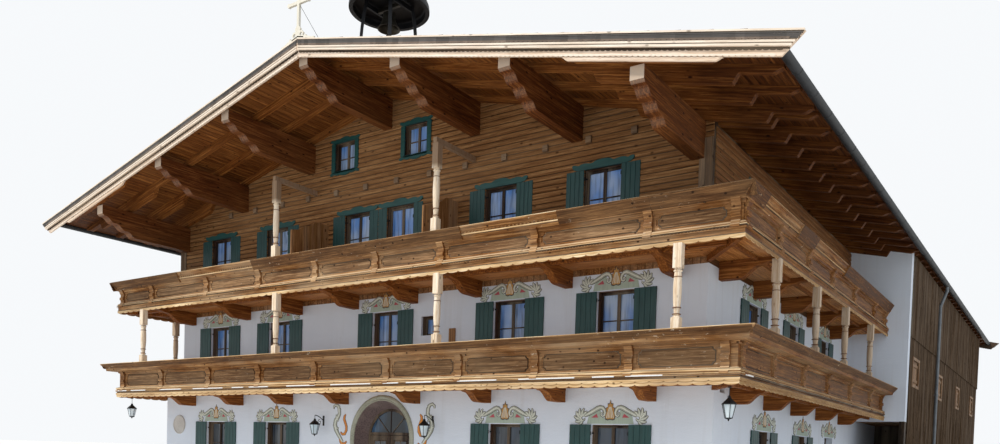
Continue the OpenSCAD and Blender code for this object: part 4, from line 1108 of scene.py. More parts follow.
    def make_stone_metal_and_glass(self) -> None:
        """Makes the stones, the shingles, the metals and the panes."""
        self.portal = Stone("portal_stone", (0.13, 0.09, 0.088), (0.05, 0.032, 0.032), (0.2, 0.155, 0.145)).make()
        self.moulding = Stone("portal_moulding", (0.33, 0.34, 0.27), (0.22, 0.22, 0.18), (0.42, 0.42, 0.35)).make()
        self.floor_stone = Stone("floor_stone", (0.42, 0.4, 0.38), (0.3, 0.29, 0.27), (0.5, 0.48, 0.45), 12.0).make()
        self.plaque = Stone("plaque_stone", (0.52, 0.5, 0.47), (0.4, 0.38, 0.36), (0.6, 0.58, 0.55)).make()
        self.shingle = Shingle("roof_shingle", (0.09, 0.065, 0.05), (0.24, 0.18, 0.14), (0.13, 0.13, 0.08)).make()
        self.shingle_end = Shingle("shingle_end", (0.05, 0.045, 0.042), (0.11, 0.1, 0.095), (0.07, 0.06, 0.05)).make()
        self.gutter = Metal("gutter_sheet", (0.009, 0.0105, 0.013), (0.024, 0.027, 0.032), 0.6, 0.0).make()
        self.pipe = Metal("pipe_sheet", (0.16, 0.18, 0.2), (0.1, 0.11, 0.125), 0.5, 0.2).make()
        self.iron = Metal("black_iron", (0.004, 0.005, 0.007), (0.011, 0.012, 0.016), 0.55, 0.4).make()
        self.bell = Metal("bell_metal", (0.05, 0.045, 0.035), (0.11, 0.1, 0.08), 0.4, 0.9).make()
        # Each pane's first colour is a painted reflection of the sky, its third painted shade of the room behind.
        self.pane = Glass("window_pane", (0.13, 0.3, 0.72), (0.02, 0.035, 0.07), (0.4, 0.52, 0.72)).make()
        self.dark_pane = Glass("ground_pane", (0.05, 0.07, 0.1), (0.008, 0.01, 0.013), (0.09, 0.1, 0.11)).make()
        self.fanlight = Glass("fanlight_pane", (0.05, 0.11, 0.2), (0.008, 0.01, 0.013), (0.02, 0.028, 0.035)).make()
        self.lantern_pane = Glass("lantern_pane", (0.6, 0.74, 0.84), (0.4, 0.5, 0.56), (0.75, 0.82, 0.86)).make()


NO_SHUTTERS = (0.0, 0.0)


@dataclass(frozen=True)
class Opening:
    """A window or glazed door and what is round it."""

    station: Station
    along: float
    sill: float
    depth: float
    width: float = Size.WINDOW_W
    height: float = Size.WINDOW_H
    shutters: tuple[float, float] = (Size.SHUTTER_W, Size.SHUTTER_W)
    pediment: bool = True
    # Whether the pane carries the painted reflection of the sky; the others get the dark pane.
    sky: bool = True

    @property
    def top(self) -> float:
        """Height of the opening's upper edge."""
        return self.sill + self.height

    @property
    def edges(self) -> Flat:
        """Its left and right edge."""
        return (self.along - self.width / 2, self.along + self.width / 2)


def all_openings() -> list[Opening]:
    """Lists every window and glazed door of the dwelling."""
    found: list[Opening] = []
    ground, first, logs = (Station(Side.FRONT, face) for face in (Size.PLINTH, 0.0, Size.LOG_OUT))
    ground_sill, first_sill, log_sill = Size.GROUND_FLOOR + 0.9, Size.FIRST + 0.91, Size.SECOND + 0.945
    attic_sill = Size.rafter_under(Size.PURLIN_X[3] + 0.14) - 0.2 - 0.3 + 1.025
    wide, narrow = 0.87 * Size.SHUTTER_W, 0.324
    for x in (-6.76, -3.93, 4.22, 7.02):
        found.append(Opening(ground, x, ground_sill, 0.18, sky=False))
    for x in (-7.1, -4.29, 4.01, 6.87):
        found.append(Opening(first, x, first_sill, 0.18))
    found.append(Opening(first, -0.03, Size.FIRST + 0.05, 0.18, height=2.06))
    found.append(Opening(first, 1.47, Size.FIRST + 1.4, 0.18, 0.47, 0.5, NO_SHUTTERS, False))
    for x in (-6.96, -4.33, -1.06, 3.73, 6.5):
        right = narrow if x == -1.06 else wide
        found.append(Opening(logs, x, log_sill, 0.11, shutters=(wide, right), pediment=False))
    both = (narrow, narrow)
    found.append(Opening(logs, 0.51, Size.SECOND + 0.05, 0.11, height=2.095, shutters=both, pediment=False))
    for x in (-1.585, 0.99):
        found.append(Opening(logs, x, attic_sill, 0.11, 0.75, 0.78, NO_SHUTTERS, False))
    for side in (Side.RIGHT, Side.LEFT):
        for y in (3.04, 6.38):
            found.append(Opening(Station(side, Size.GROUND_HALF), y, ground_sill, 0.18, sky=False))
        for y in (3.04, 6.38, 9.72):
            found.append(Opening(Station(side, Size.HALF), y, first_sill, 0.18))
            found.append(Opening(Station(side, Size.LOG_HALF), y, log_sill, 0.11, pediment=False))
    found.append(Opening(Station(Side.LEFT, Size.GROUND_HALF), Size.SIDE_DOOR_Y, ground_sill, 0.18, sky=False))
    return found


@dataclass
class Windows:
    """Frames, casements, bars, panes, sills and linings of the dwelling's windows."""

    palette: Palette
    openings: list[Opening]
    frame_w: float = 0.03
    frame_t: float = 0.06
    casement_w: float = 0.036
    bar: float = 0.024
    pane_in: float = 0.06
    lining_t: float = 0.012
    door_height: float = 1.5
    small_height: float = 0.6

    def build(self) -> None:
        """Makes all pieces."""
        frames, panes, dark, sills, lining = Draft(), Draft(), Draft(), Draft(), Draft()
        for o in self.openings:
            self.frame(frames, o)
            left, right = o.edges
            (panes if o.sky else dark).block(
                o.station,
                (left + self.pane_in, right - self.pane_in),
                (-o.depth - 0.034, -o.depth - 0.026),
                (o.sill + self.pane_in, o.top - self.pane_in),
            )
            self.lining(lining, o)
            self.sill(sills, o)
        hand_over(frames.piece("window_frames"), self.palette.sash, "window_wood", stands_for=["windows"])
        for draft, name, finish, slot in (
            (panes, "window_panes", self.palette.pane, "window_wood"),
            (dark, "ground_window_panes", self.palette.dark_pane, "window_wood"),
            (lining, "window_linings", self.palette.lining, "window_wood"),
            (sills, "window_sills", self.palette.moulding, "render"),
        ):
            hand_over(draft.piece(name), finish, slot)

    def frame(self, draft: Draft, o: Opening) -> None:
        """Adds the fixed frame, two casements and their bars for one opening."""
        (left, right), w = o.edges, self.frame_w
        out = (-o.depth - self.frame_t, -o.depth)
        for a in ((left, left + w), (right - w, right)):
            draft.plank(o.station, a, out, (o.sill, o.top), 0.004)
        for u in ((o.sill, o.sill + w), (o.top - w, o.top)):
            draft.block(o.station, (left + w, right - w), out, u, 0.004)
        halves = [(left + w, right - w)]
        if o.width > 0.5:
            halves = [(left + w, o.along - 0.002), (o.along + 0.002, right - w)]
        for half in halves:
            self.casement(draft, o, half, (out[0] + 0.012, out[1] + 0.012))

    def casement(self, draft: Draft, o: Opening, span: Flat, out: Flat) -> None:
        """Adds one casement with its bars.

        Args:
            draft: Where it goes.
            o: The opening.
            span: Its left and right edge.
            out: Its back and front from the wall's face.
        """
        (left, right), w = span, self.casement_w
        low, high = o.sill + self.frame_w, o.top - self.frame_w
        for a in ((left, left + w), (right - w, right)):
            draft.plank(o.station, a, out, (low, high), 0.005)
        for u in (low, high - w):
            draft.block(o.station, (left + w, right - w), out, (u, u + w), 0.005)
        for share in self.bars(o):
            u = o.sill + share * o.height
            draft.block(o.station, (left + w, right - w), (out[0], out[1] - 0.008), (u, u + self.bar), 0.004)

    def bars(self, o: Opening) -> tuple[float, ...]:
        """The heights of the glazing bars as shares of the window's height."""
        if o.height > self.door_height:
            return (0.34, 0.62)
        return (0.45,) if o.height > self.small_height else ()

    def lining(self, draft: Draft, o: Opening) -> None:
        """Adds the boards that line the reveal of one opening."""
        (left, right), t = o.edges, self.lining_t
        out = (-o.depth, -0.35 * o.depth)
        for a in ((left, left + t), (right - t, right)):
            draft.plank(o.station, a, out, (o.sill, o.top), 0.003)
        draft.block(o.station, (left, right), out, (o.top - t, o.top))

    def sill(self, draft: Draft, o: Opening) -> None:
        """Adds the sloped sill of one opening, which glazed doors and small windows don't have."""
        if not self.small_height <= o.height <= self.door_height:
            return
        half = o.width / 2 + 0.03
        section = ((-o.depth, -0.03), (0.05, -0.045), (0.05, -0.012), (-o.depth, 0.012))
        ends = (o.along - half, o.along + half)
        draft.ring_stack([[o.station.place(a, out, o.sill + up) for out, up in section] for a in ends])


@dataclass
class Shutters:
    """Plank shutters that stand open beside the windows, with their hinges and ledges."""

    palette: Palette
    openings: list[Opening]
    thickness: float = 0.04
    plank_w: float = 0.13

    def build(self) -> None:
        """Makes the planks and the ironwork."""
        wood, iron = Draft(), Draft()
        for o in self.openings:
            for sign, width in zip((-1, 1), o.shutters):
                if not width:
                    continue
                middle = o.along + sign * (o.width + width) / 2
                half = width / 2 - 0.005
                self.leaf(wood, o, middle - half, middle + half)
                self.hinges(iron, o, middle - sign * half, sign)
        hand_over(wood.piece("plank_shutters"), self.palette.shutter, "shutter_paint", stands_for=["shutters"])
        hand_over(iron.piece("shutter_ironwork"), self.palette.iron, "black_metal")

    def leaf(self, draft: Draft, o: Opening, left: float, right: float) -> None:
        """Adds one shutter from its left to its right edge."""
        count = max(2, round((right - left) / self.plank_w))
        width = (right - left) / count
        for i in range(count):
            a = left + i * width
            draft.plank(o.station, (a, a + width - 0.001), (0.012, self.thickness), (o.sill, o.top), 0.008)
        for share in (0.14, 0.8):
            u = o.sill + share * o.height
            draft.block(o.station, (left + 0.02, right - 0.02), (0.0, 0.012), (u, u + 0.09))

    @staticmethod
    def hinges(draft: Draft, o: Opening, edge: float, sign: int) -> None:
        """Adds the two hinge pins and their plates at a shutter's hinge edge."""
        for share in (0.18, 0.84):
            u = o.sill + share * o.height
            plate = tuple(sorted((edge - sign * 0.05, edge)))
            draft.block(o.station, plate, (-0.05, -0.03), (u - 0.012, u + 0.022))
            pin = o.station.place(edge - sign * 0.012, 0.03, u - 0.04)
            draft.lathe(pin, ((0.009, 0.0), (0.009, 0.08)), 8)


@dataclass
class CarvedBoards:
    """The green carved boards over the log storey's windows and round the attic windows."""

    palette: Palette
    openings: list[Opening]
    thickness: float = 0.05
    side_w: float = 0.14

    def build(self) -> None:
        """Makes all carved boards."""
        draft = Draft()
        for o in self.openings:
            if o.station != Station(Side.FRONT, Size.LOG_OUT):
                continue
            if o.width < Size.WINDOW_W:
                half = o.width / 2 + self.side_w + 0.045
                for foot, sign in ((o.top, 1), (o.sill, -1)):
                    outline = [(o.along + a, foot + sign * u) for a, u in self.outline(half, self.side_w)]
                    draft.panel(o.station, outline, 0.0, self.thickness)
                for a in (o.edges[0] - self.side_w, o.edges[1]):
                    draft.plank(o.station, (a, a + self.side_w), (0.0, self.thickness), (o.sill, o.top), 0.006)
            else:
                outline = [(o.along + a, o.top + 0.004 + u) for a, u in self.outline(0.78, 0.185)]
                draft.panel(o.station, outline, 0.0, self.thickness)
        hand_over(draft.piece("carved_boards"), self.palette.carved, "shutter_paint", stands_for=["carved_lintels"])

    @staticmethod
    def outline(half: float, height: float) -> list[Flat]:
        """The outline of one board with round ends, dips beside them and a hump in the middle."""
        end = ((0.2, 0.0), (0.1, 0.05), (0.04, 0.22), (0.006, 0.45), (0.0, 0.64), (0.03, 0.75), (0.09, 0.72))
        end += ((0.14, 0.6), (0.17, 0.6), (0.23, 0.73), (0.32, 0.78), (0.4, 0.72))
        right = [(half - a, u) for a, u in end if half - a > 0.4 * half]
        right += [(0.38 * half, 0.66), (0.33 * half, 0.68), (0.24 * half, 0.86), (0.12 * half, 0.97)]
        left = [(-a, u) for a, u in reversed(right)]
        return [(a, u * height) for a, u in [*right, (0.0, 1.0), *left]]


@dataclass(frozen=True)
class Spot:
    """A place on a wall that an ornament counts from, which is its middle."""

    station: Station
    x: float
    z: float

    def shape(self, outline: Sequence[Flat], sign: int = 1) -> list[Flat]:
        """Moves an outline to the place, or its mirror image for a sign of -1."""
        return [(self.x + sign * a, self.z + u) for a, u in outline]


@dataclass
class PaintedOrnament:
    """Scrollwork of the kind painted over windows and doors in the mountains, raised a few millimetres."""

    palette: Palette
    openings: list[Opening]
    raised: float = 0.006
    strokes: int = 0

    def build(self) -> None:
        """Makes the parts of all ornaments, colour by colour."""
        layers = {name: Draft() for name in self.palette.fresco}
        for o in self.openings:
            if o.pediment:
                self.pediment(layers, Spot(o.station, o.along, o.top + 0.02))
        self.pediment(layers, Spot(Station(Side.RIGHT, Size.GROUND_HALF), Size.SIDE_DOOR_Y, 2.32))
        self.portal_scrolls(layers, Spot(Station(Side.FRONT, Size.PLINTH), Size.DOOR_X, 0.0))
        for name, draft in layers.items():
            hand_over(draft.piece("painted_scrolls_" + name), self.palette.fresco[name], "render")

    @staticmethod
    def curl(centre: Flat, radius: float, start: float, turns: float, sign: int, half: float) -> list[Point]:
        """A spiral that winds inwards.

        Args:
            centre: Its middle.
            radius: Its outer radius.
            start: Angle of its outer end in degrees.
            turns: How many turns it makes.
            sign: 1 to wind anticlockwise, -1 clockwise.
            half: Half of the band's width at the outer end.

        Returns:
            Points with the half width of the band.
        """
        points = []
        count = max(6, int(16 * turns))
        for i in range(count + 1):
            t = i / count
            angle = math.radians(start) + sign * math.tau * turns * t
            (x, z), r = centre, radius * (1.0 - 0.8 * t)
            points.append((x + r * math.cos(angle), z + r * math.sin(angle), half * (1.0 - 0.6 * t)))
        return points

    @staticmethod
    def leaf(base: Flat, angle: float, length: float, half: float, bend: float = 0.3) -> list[Point]:
        """A pointed leaf from its base, at an angle in degrees, that bends a little."""
        points = []
        for i in range(7):
            t = i / 6
            turn = math.radians(angle) + bend * t
            (x, z), width = base, half * math.sin(math.pi * min(0.96, 0.12 + 0.84 * t)) + 0.002
            points.append((x + length * t * math.cos(turn), z + length * t * math.sin(turn), width))
        return points

    def both(self, draft: Draft, spot: Spot, path: Sequence[Point], level: int) -> None:
        """Adds a band and its mirror image, raised by their level and a little by their number."""
        for sign in (-1, 1):
            self.strokes += 1
            high = self.raised + 0.002 * level + 0.0001 * (self.strokes % 16)
            draft.ribbon(spot.station, [(spot.x + sign * a, spot.z + u, h) for a, u, h in path], 0.0, high)

    def outlined(self, layers: dict[str, Draft], spot: Spot, path: Sequence[Point], name: str = "grey") -> None:
        """Adds a band and its mirror image with a dark outline and a pale line along its middle.

        Args:
            layers: The drafts by colour.
            spot: The ornament's place.
            path: Points with the half width of the band.
            name: The band's colour; only grey bands have the pale line.
        """
        self.both(layers["dark"], spot, [(a, u, h + 0.011) for a, u, h in path], 0)
        self.both(layers[name], spot, path, 1)
        if name == "grey":
            self.both(layers["light"], spot, [(a, u, 0.3 * h + 0.002) for a, u, h in path], 2)

    def pediment(self, layers: dict[str, Draft], spot: Spot) -> None:
        """Adds the ornament over one window, from the middle of its foot."""
        base = ((-0.57, 0.0), (0.57, 0.0), (0.54, 0.135), (-0.54, 0.135))
        layers["green"].panel(spot.station, spot.shape(base), 0.0, self.raised)
        arch = [
            (0.64, 0.17, 0.02), (0.57, 0.205, 0.036), (0.48, 0.25, 0.042), (0.4, 0.29, 0.044), (0.32, 0.335, 0.045),
            (0.25, 0.36, 0.044), (0.19, 0.35, 0.04), (0.145, 0.305, 0.035), (0.125, 0.245, 0.03), (0.14, 0.185, 0.024),
            (0.18, 0.165, 0.02), (0.215, 0.185, 0.017), (0.222, 0.225, 0.014), (0.19, 0.25, 0.011), (0.17, 0.23, 0.009),
        ]
        self.outlined(layers, spot, arch)
        self.outlined(layers, spot, self.curl((0.665, 0.115), 0.088, 100.0, 0.8, -1, 0.026))
        fan = ((-75.0, 0.11), (-40.0, 0.16), (-8.0, 0.19), (20.0, 0.2), (46.0, 0.21), (72.0, 0.19), (100.0, 0.15))
        for angle, length in fan:
            root = (0.68 + 0.05 * math.cos(math.radians(angle)), 0.11 + 0.05 * math.sin(math.radians(angle)))
            self.outlined(layers, spot, self.leaf(root, angle, length, 0.028, 0.55))
        self.outlined(layers, spot, self.curl((0.83, 0.2), 0.05, 220.0, 0.8, -1, 0.018))
        field = ((0.2, 0.13), (0.55, 0.13), (0.5, 0.2), (0.33, 0.29), (0.24, 0.3))
        triangle = ((0.295, 0.136), (0.465, 0.136), (0.335, 0.222))
        for sign in (-1, 1):
            layers["green"].panel(spot.station, spot.shape(field, sign), 0.0, self.raised - 0.003)
            layers["pink"].panel(spot.station, spot.shape(triangle, sign), 0.0, self.raised)
        self.palmette(layers, spot)

    def palmette(self, layers: dict[str, Draft], spot: Spot) -> None:
        """Adds the golden leaf in the middle of a window's ornament."""
        body = ((-0.1, 0.115), (-0.05, 0.1), (0.0, 0.115), (0.05, 0.1), (0.1, 0.115), (0.115, 0.17), (0.085, 0.27))
        body += ((0.1, 0.34), (0.055, 0.36), (0.06, 0.43), (0.02, 0.43), (0.0, 0.5), (-0.02, 0.43), (-0.06, 0.43))
        body += ((-0.055, 0.36), (-0.1, 0.34), (-0.085, 0.27), (-0.115, 0.17))
        for name, grow, high in (("dark", 1.14, 0.002), ("gold", 1.0, 0.005)):
            outline = spot.shape([(grow * a, 0.29 + grow * (u - 0.29)) for a, u in body])
            layers[name].panel(spot.station, outline, 0.0, self.raised + high)
        for foot, head in ((-0.085, -0.02), (-0.045, -0.01), (0.0, 0.0), (0.045, 0.01), (0.085, 0.02)):
            vein = ((foot, 0.13, 0.008), (0.7 * foot, 0.24, 0.006), (head, 0.37, 0.004))
            placed = [(spot.x + a, spot.z + u, h) for a, u, h in vein]
            layers["light"].ribbon(spot.station, placed, 0.0, self.raised + 0.007)

    def portal_scrolls(self, layers: dict[str, Draft], spot: Spot) -> None:
        """Adds the tall scrolls on both sides of the entrance."""
        stem = [
            (1.8, 2.63, 0.014), (1.8, 2.69, 0.024), (1.73, 2.74, 0.032), (1.64, 2.71, 0.038), (1.58, 2.61, 0.044),
            (1.58, 2.49, 0.05), (1.64, 2.39, 0.056), (1.72, 2.31, 0.06), (1.745, 2.19, 0.064), (1.7, 2.06, 0.062),
            (1.62, 1.94, 0.05), (1.52, 1.82, 0.04), (1.43, 1.72, 0.026),
        ]
        self.outlined(layers, spot, stem)
        self.outlined(layers, spot, self.curl((1.5, 1.05), 0.14, 150.0, 1.1, 1, 0.036))
        lower = [(1.46, 1.66, 0.02), (1.42, 1.55, 0.04), (1.42, 1.42, 0.05), (1.5, 1.3, 0.045), (1.52, 1.2, 0.03)]
        self.outlined(layers, spot, lower)
        flames = (
            [(1.33, 2.48, 0.008), (1.38, 2.42, 0.03), (1.39, 2.34, 0.036), (1.34, 2.24, 0.032), (1.3, 2.15, 0.034),
             (1.3, 2.04, 0.036), (1.36, 1.94, 0.032), (1.45, 1.93, 0.026), (1.52, 1.99, 0.014)],
            [(1.28, 1.74, 0.01), (1.34, 1.68, 0.028), (1.43, 1.67, 0.034), (1.52, 1.73, 0.03), (1.56, 1.82, 0.012)],
            [(1.3, 1.5, 0.01), (1.35, 1.4, 0.03), (1.33, 1.28, 0.03), (1.3, 1.16, 0.012)],
        )
        for path in flames:
            self.outlined(layers, spot, path, "orange")
        for up, angle in ((2.52, 70.0), (2.3, 30.0), (2.1, -10.0), (1.5, 10.0), (1.3, -30.0)):
            self.outlined(layers, spot, self.leaf((1.6, up), angle, 0.2, 0.026, 0.5))
        for up in (0.75, 0.88, 1.62):
            self.both(layers["pink"], spot, self.leaf((1.56, up), 100.0 * up, 0.12, 0.035), 1)


@dataclass
class LogStorey:
    """The log walls' timbers with the chinks between them, and the boards on the corners."""

    palette: Palette
    openings: list[Opening]
    course: float = 0.13
    proud: float = 0.026
    rounding: float = 0.014
    chink: float = 0.008
    tie_beams: tuple[float, ...] = (
        -6.48, -5.33, -4.1, -3.0, -1.87, -0.74, 0.37, 1.5, 2.65, 3.83, 4.99, 6.13, 7.26,
    )
    tie_beam_up: Flat = (8.59, 8.74)

    def build(self) -> None:
        """Makes the timbers of the front and of both side walls."""
        front, sides, corner, ties = Draft(), Draft(), Draft(), Draft()
        station = Station(Side.FRONT, Size.LOG_OUT)
        holes = self.holes(station)
        level = Size.SECOND
        while level < Size.RIDGE - 0.15:
            for span in self.courses(level, holes):
                self.timber(front, station, span, level, holes)
            level += self.course
        top = Size.rafter_under(Size.LOG_HALF) - 0.2
        for wall in (Station(Side.RIGHT, Size.LOG_HALF), Station(Side.LEFT, Size.LOG_HALF)):
            gaps = self.holes(wall)
            level = Size.SECOND
            while level < top - 0.05:
                for span in self.split((0.0, Size.DWELLING), level, gaps):
                    self.timber(sides, wall, span, level, gaps, top)
                level += self.course
        for left, right in ((-8.9, -8.76), (-9.05, -8.905), (8.76, 8.9), (8.905, 9.05)):
            corner.plank(station, (left, right), (0.0, 0.05), (Size.SECOND, top - 0.3), 0.006)
        for x in self.tie_beams:
            ties.block(station, (x - 0.07, x + 0.07), (0.0, 0.085), self.tie_beam_up, 0.012)
        for draft, name, finish in (
            (front, "log_courses_front", self.palette.log_front),
            (sides, "log_courses_sides", self.palette.log_side),
            (corner, "log_corner_boards", self.palette.corner_board),
            (ties, "log_tie_beam_ends", self.palette.beam_end),
        ):
            hand_over(draft.piece(name), finish, "log_wood")

    def holes(self, wall: Station) -> list[Hole]:
        """The openings of one log wall as left, right, bottom and top."""
        return [(*o.edges, o.sill, o.top) for o in self.openings if o.station == wall]

    def split(self, span: Flat, level: float, holes: list[Hole]) -> list[Flat]:
        """Cuts a course where an opening's side edges cross it, so that each stretch is one timber."""
        cuts = set(span)
        for left, right, bottom, top in holes:
            if bottom < level + self.course and top > level:
                cuts.update((left, right))
        marks = sorted(c for c in cuts if span[0] <= c <= span[1])
        return list(zip(marks, marks[1:]))

    def courses(self, level: float, holes: list[Hole]) -> list[Flat]:
        """The stretches of one front course, ended under the roof boards."""
        reach = (Size.RIDGE - Size.COVER - 0.02 - (level + self.course)) / Size.SLOPE
        half = min(Size.LOG_HALF, reach)
        return self.split((-half, half), level, holes) if half >= 0.3 else []

    def timber(
        self,
        draft: Draft,
        station: Station,
        span: Flat,
        level: float,
        holes: list[Hole],
        ceiling: float = math.inf,
    ) -> None:
        """Adds one timber's outer face, cut back where an opening takes a part of its height.

        Args:
            draft: Where it goes.
            station: The wall.
            span: Its left and right end.
            level: Its lower edge.
            holes: The wall's openings.
            ceiling: Height above which nothing is made.
        """
        low, high = level, min(level + self.course, ceiling)
        middle = sum(span) / 2
        for left, right, bottom, top in holes:
            if left < middle < right and bottom < high and top > low:
                if bottom > low:
                    high = bottom
                elif top < high:
                    low = top
                else:
                    return
        if high - low < 3 * self.rounding or span[1] - span[0] < 0.01:
            return
        draft.block(station, span, (0.0, self.proud), (low + self.chink, high - self.chink), self.rounding)


@dataclass
class BarnBoards:
    """Upright boards of the barn with their windows' frames and boarded leaves."""

    palette: Palette
    board: float = 0.26
    proud: float = 0.028

    def build(self) -> None:
        """Makes the boards of both sides and of the rear, and the windows."""
        boards, frames, leaves = Draft(), Draft(), Draft()
        places = [Size.BARN_FIRST_Y + i * Size.BARN_PITCH for i in range(4)]
        eave = Size.rafter_under(Size.BARN_HALF + Size.LAP) - 0.01
        length = (Size.DWELLING + Size.RETURN, Size.BARN_END)
        for side in (Side.RIGHT, Side.LEFT):
            lower, upper = Station(side, Size.BARN_HALF), Station(side, Size.BARN_HALF + Size.LAP)
            self.boards(boards, lower, length, 0.0, lambda a: Size.SEAM, places)
            self.boards(boards, upper, length, Size.SEAM - 0.06, lambda a: eave)
            for along in places:
                self.window(frames, leaves, lower, along)
        rear, gable = Station(Side.REAR, Size.BARN_END), Station(Side.REAR, Size.BARN_END + Size.LAP)
        width = (-Size.BARN_HALF, Size.BARN_HALF)
        places = [share * Size.BARN_PITCH for share in (-0.5, -1.5, 0.5, 1.5)]
        self.boards(boards, rear, width, 0.0, lambda a: Size.SEAM, places)
        self.boards(boards, gable, width, Size.SEAM - 0.06, self.gable_top)
        for along in places:
            self.window(frames, leaves, rear, along)
        finish, slot = self.palette.barn_window, "barn_window_wood"
        hand_over(boards.piece("barn_boards"), self.palette.barn, "barn_boards")
        hand_over(frames.piece("barn_window_frames"), finish, slot)
        hand_over(leaves.piece("barn_window_leaves"), finish, slot, stands_for=["barn_windows"])

    @staticmethod
    def gable_top(along: float) -> float:
        """Height where the rear gable's boards end."""
        under = Size.rafter_under(along) - 0.03
        for x in Size.PURLIN_X:
            if abs(abs(along) - x) < 0.35:
                under = min(under, Size.rafter_under(x + 0.14) - 0.32 - (0.2 if x > 8.0 else 0.0))
        return under

    def boards(
        self,
        draft: Draft,
        station: Station,
        span: Flat,
        foot: float,
        top: Callable[[float], float],
        windows: Sequence[float] = (),
    ) -> None:
        """Adds upright boards along a wall, of slightly different widths and thicknesses.

        Args:
            draft: Where they go.
            station: The wall.
            span: The wall's ends.
            foot: Height of their lower ends.
            top: Height of a board's top at a place along the wall.
            windows: Middles of the windows along the wall.
        """
        along, number = span[0], 0
        while along < span[1] - 0.02:
            width = self.board * (0.82 + 0.36 * ((number * 7) % 5) / 4)
            end = min(along + width, span[1])
            out = self.proud + 0.005 * ((number * 3) % 4) / 3
            middle = (along + end) / 2
            parts = [(foot, top(middle))]
            for place in windows:
                if place - Size.BARN_WINDOW_HALF < end and place + Size.BARN_WINDOW_HALF > along:
                    parts = [(foot, Size.BARN_WINDOW_UP[0] - 0.05), (Size.BARN_WINDOW_UP[1] + 0.05, top(middle))]
            for low, high in parts:
                draft.plank(station, (along + 0.003, end - 0.003), (0.0, out), (low, high), 0.005)
            along, number = end, number + 1

    @staticmethod
    def window(frames: Draft, leaves: Draft, station: Station, along: float) -> None:
        """Adds one barn window's frame and its boarded leaf."""
        left, right = along - Size.BARN_WINDOW_HALF, along + Size.BARN_WINDOW_HALF
        low, high = Size.BARN_WINDOW_UP
        for a in ((left - 0.09, left), (right, right + 0.09)):
            frames.plank(station, a, (0.0, 0.05), (low - 0.09, high + 0.09), 0.006)
        for u in ((low - 0.09, low), (high, high + 0.09)):
            frames.block(station, (left, right), (0.0, 0.05), u, 0.006)
        for a in parts_of(left, right, 7, 0.001):
            leaves.plank(station, a, (-0.1, -0.02), (low, high), 0.006)
        for u in (low + 0.1, high - 0.2):
            leaves.block(station, (left + 0.03, right - 0.03), (-0.02, 0.005), (u, u + 0.1), 0.005)


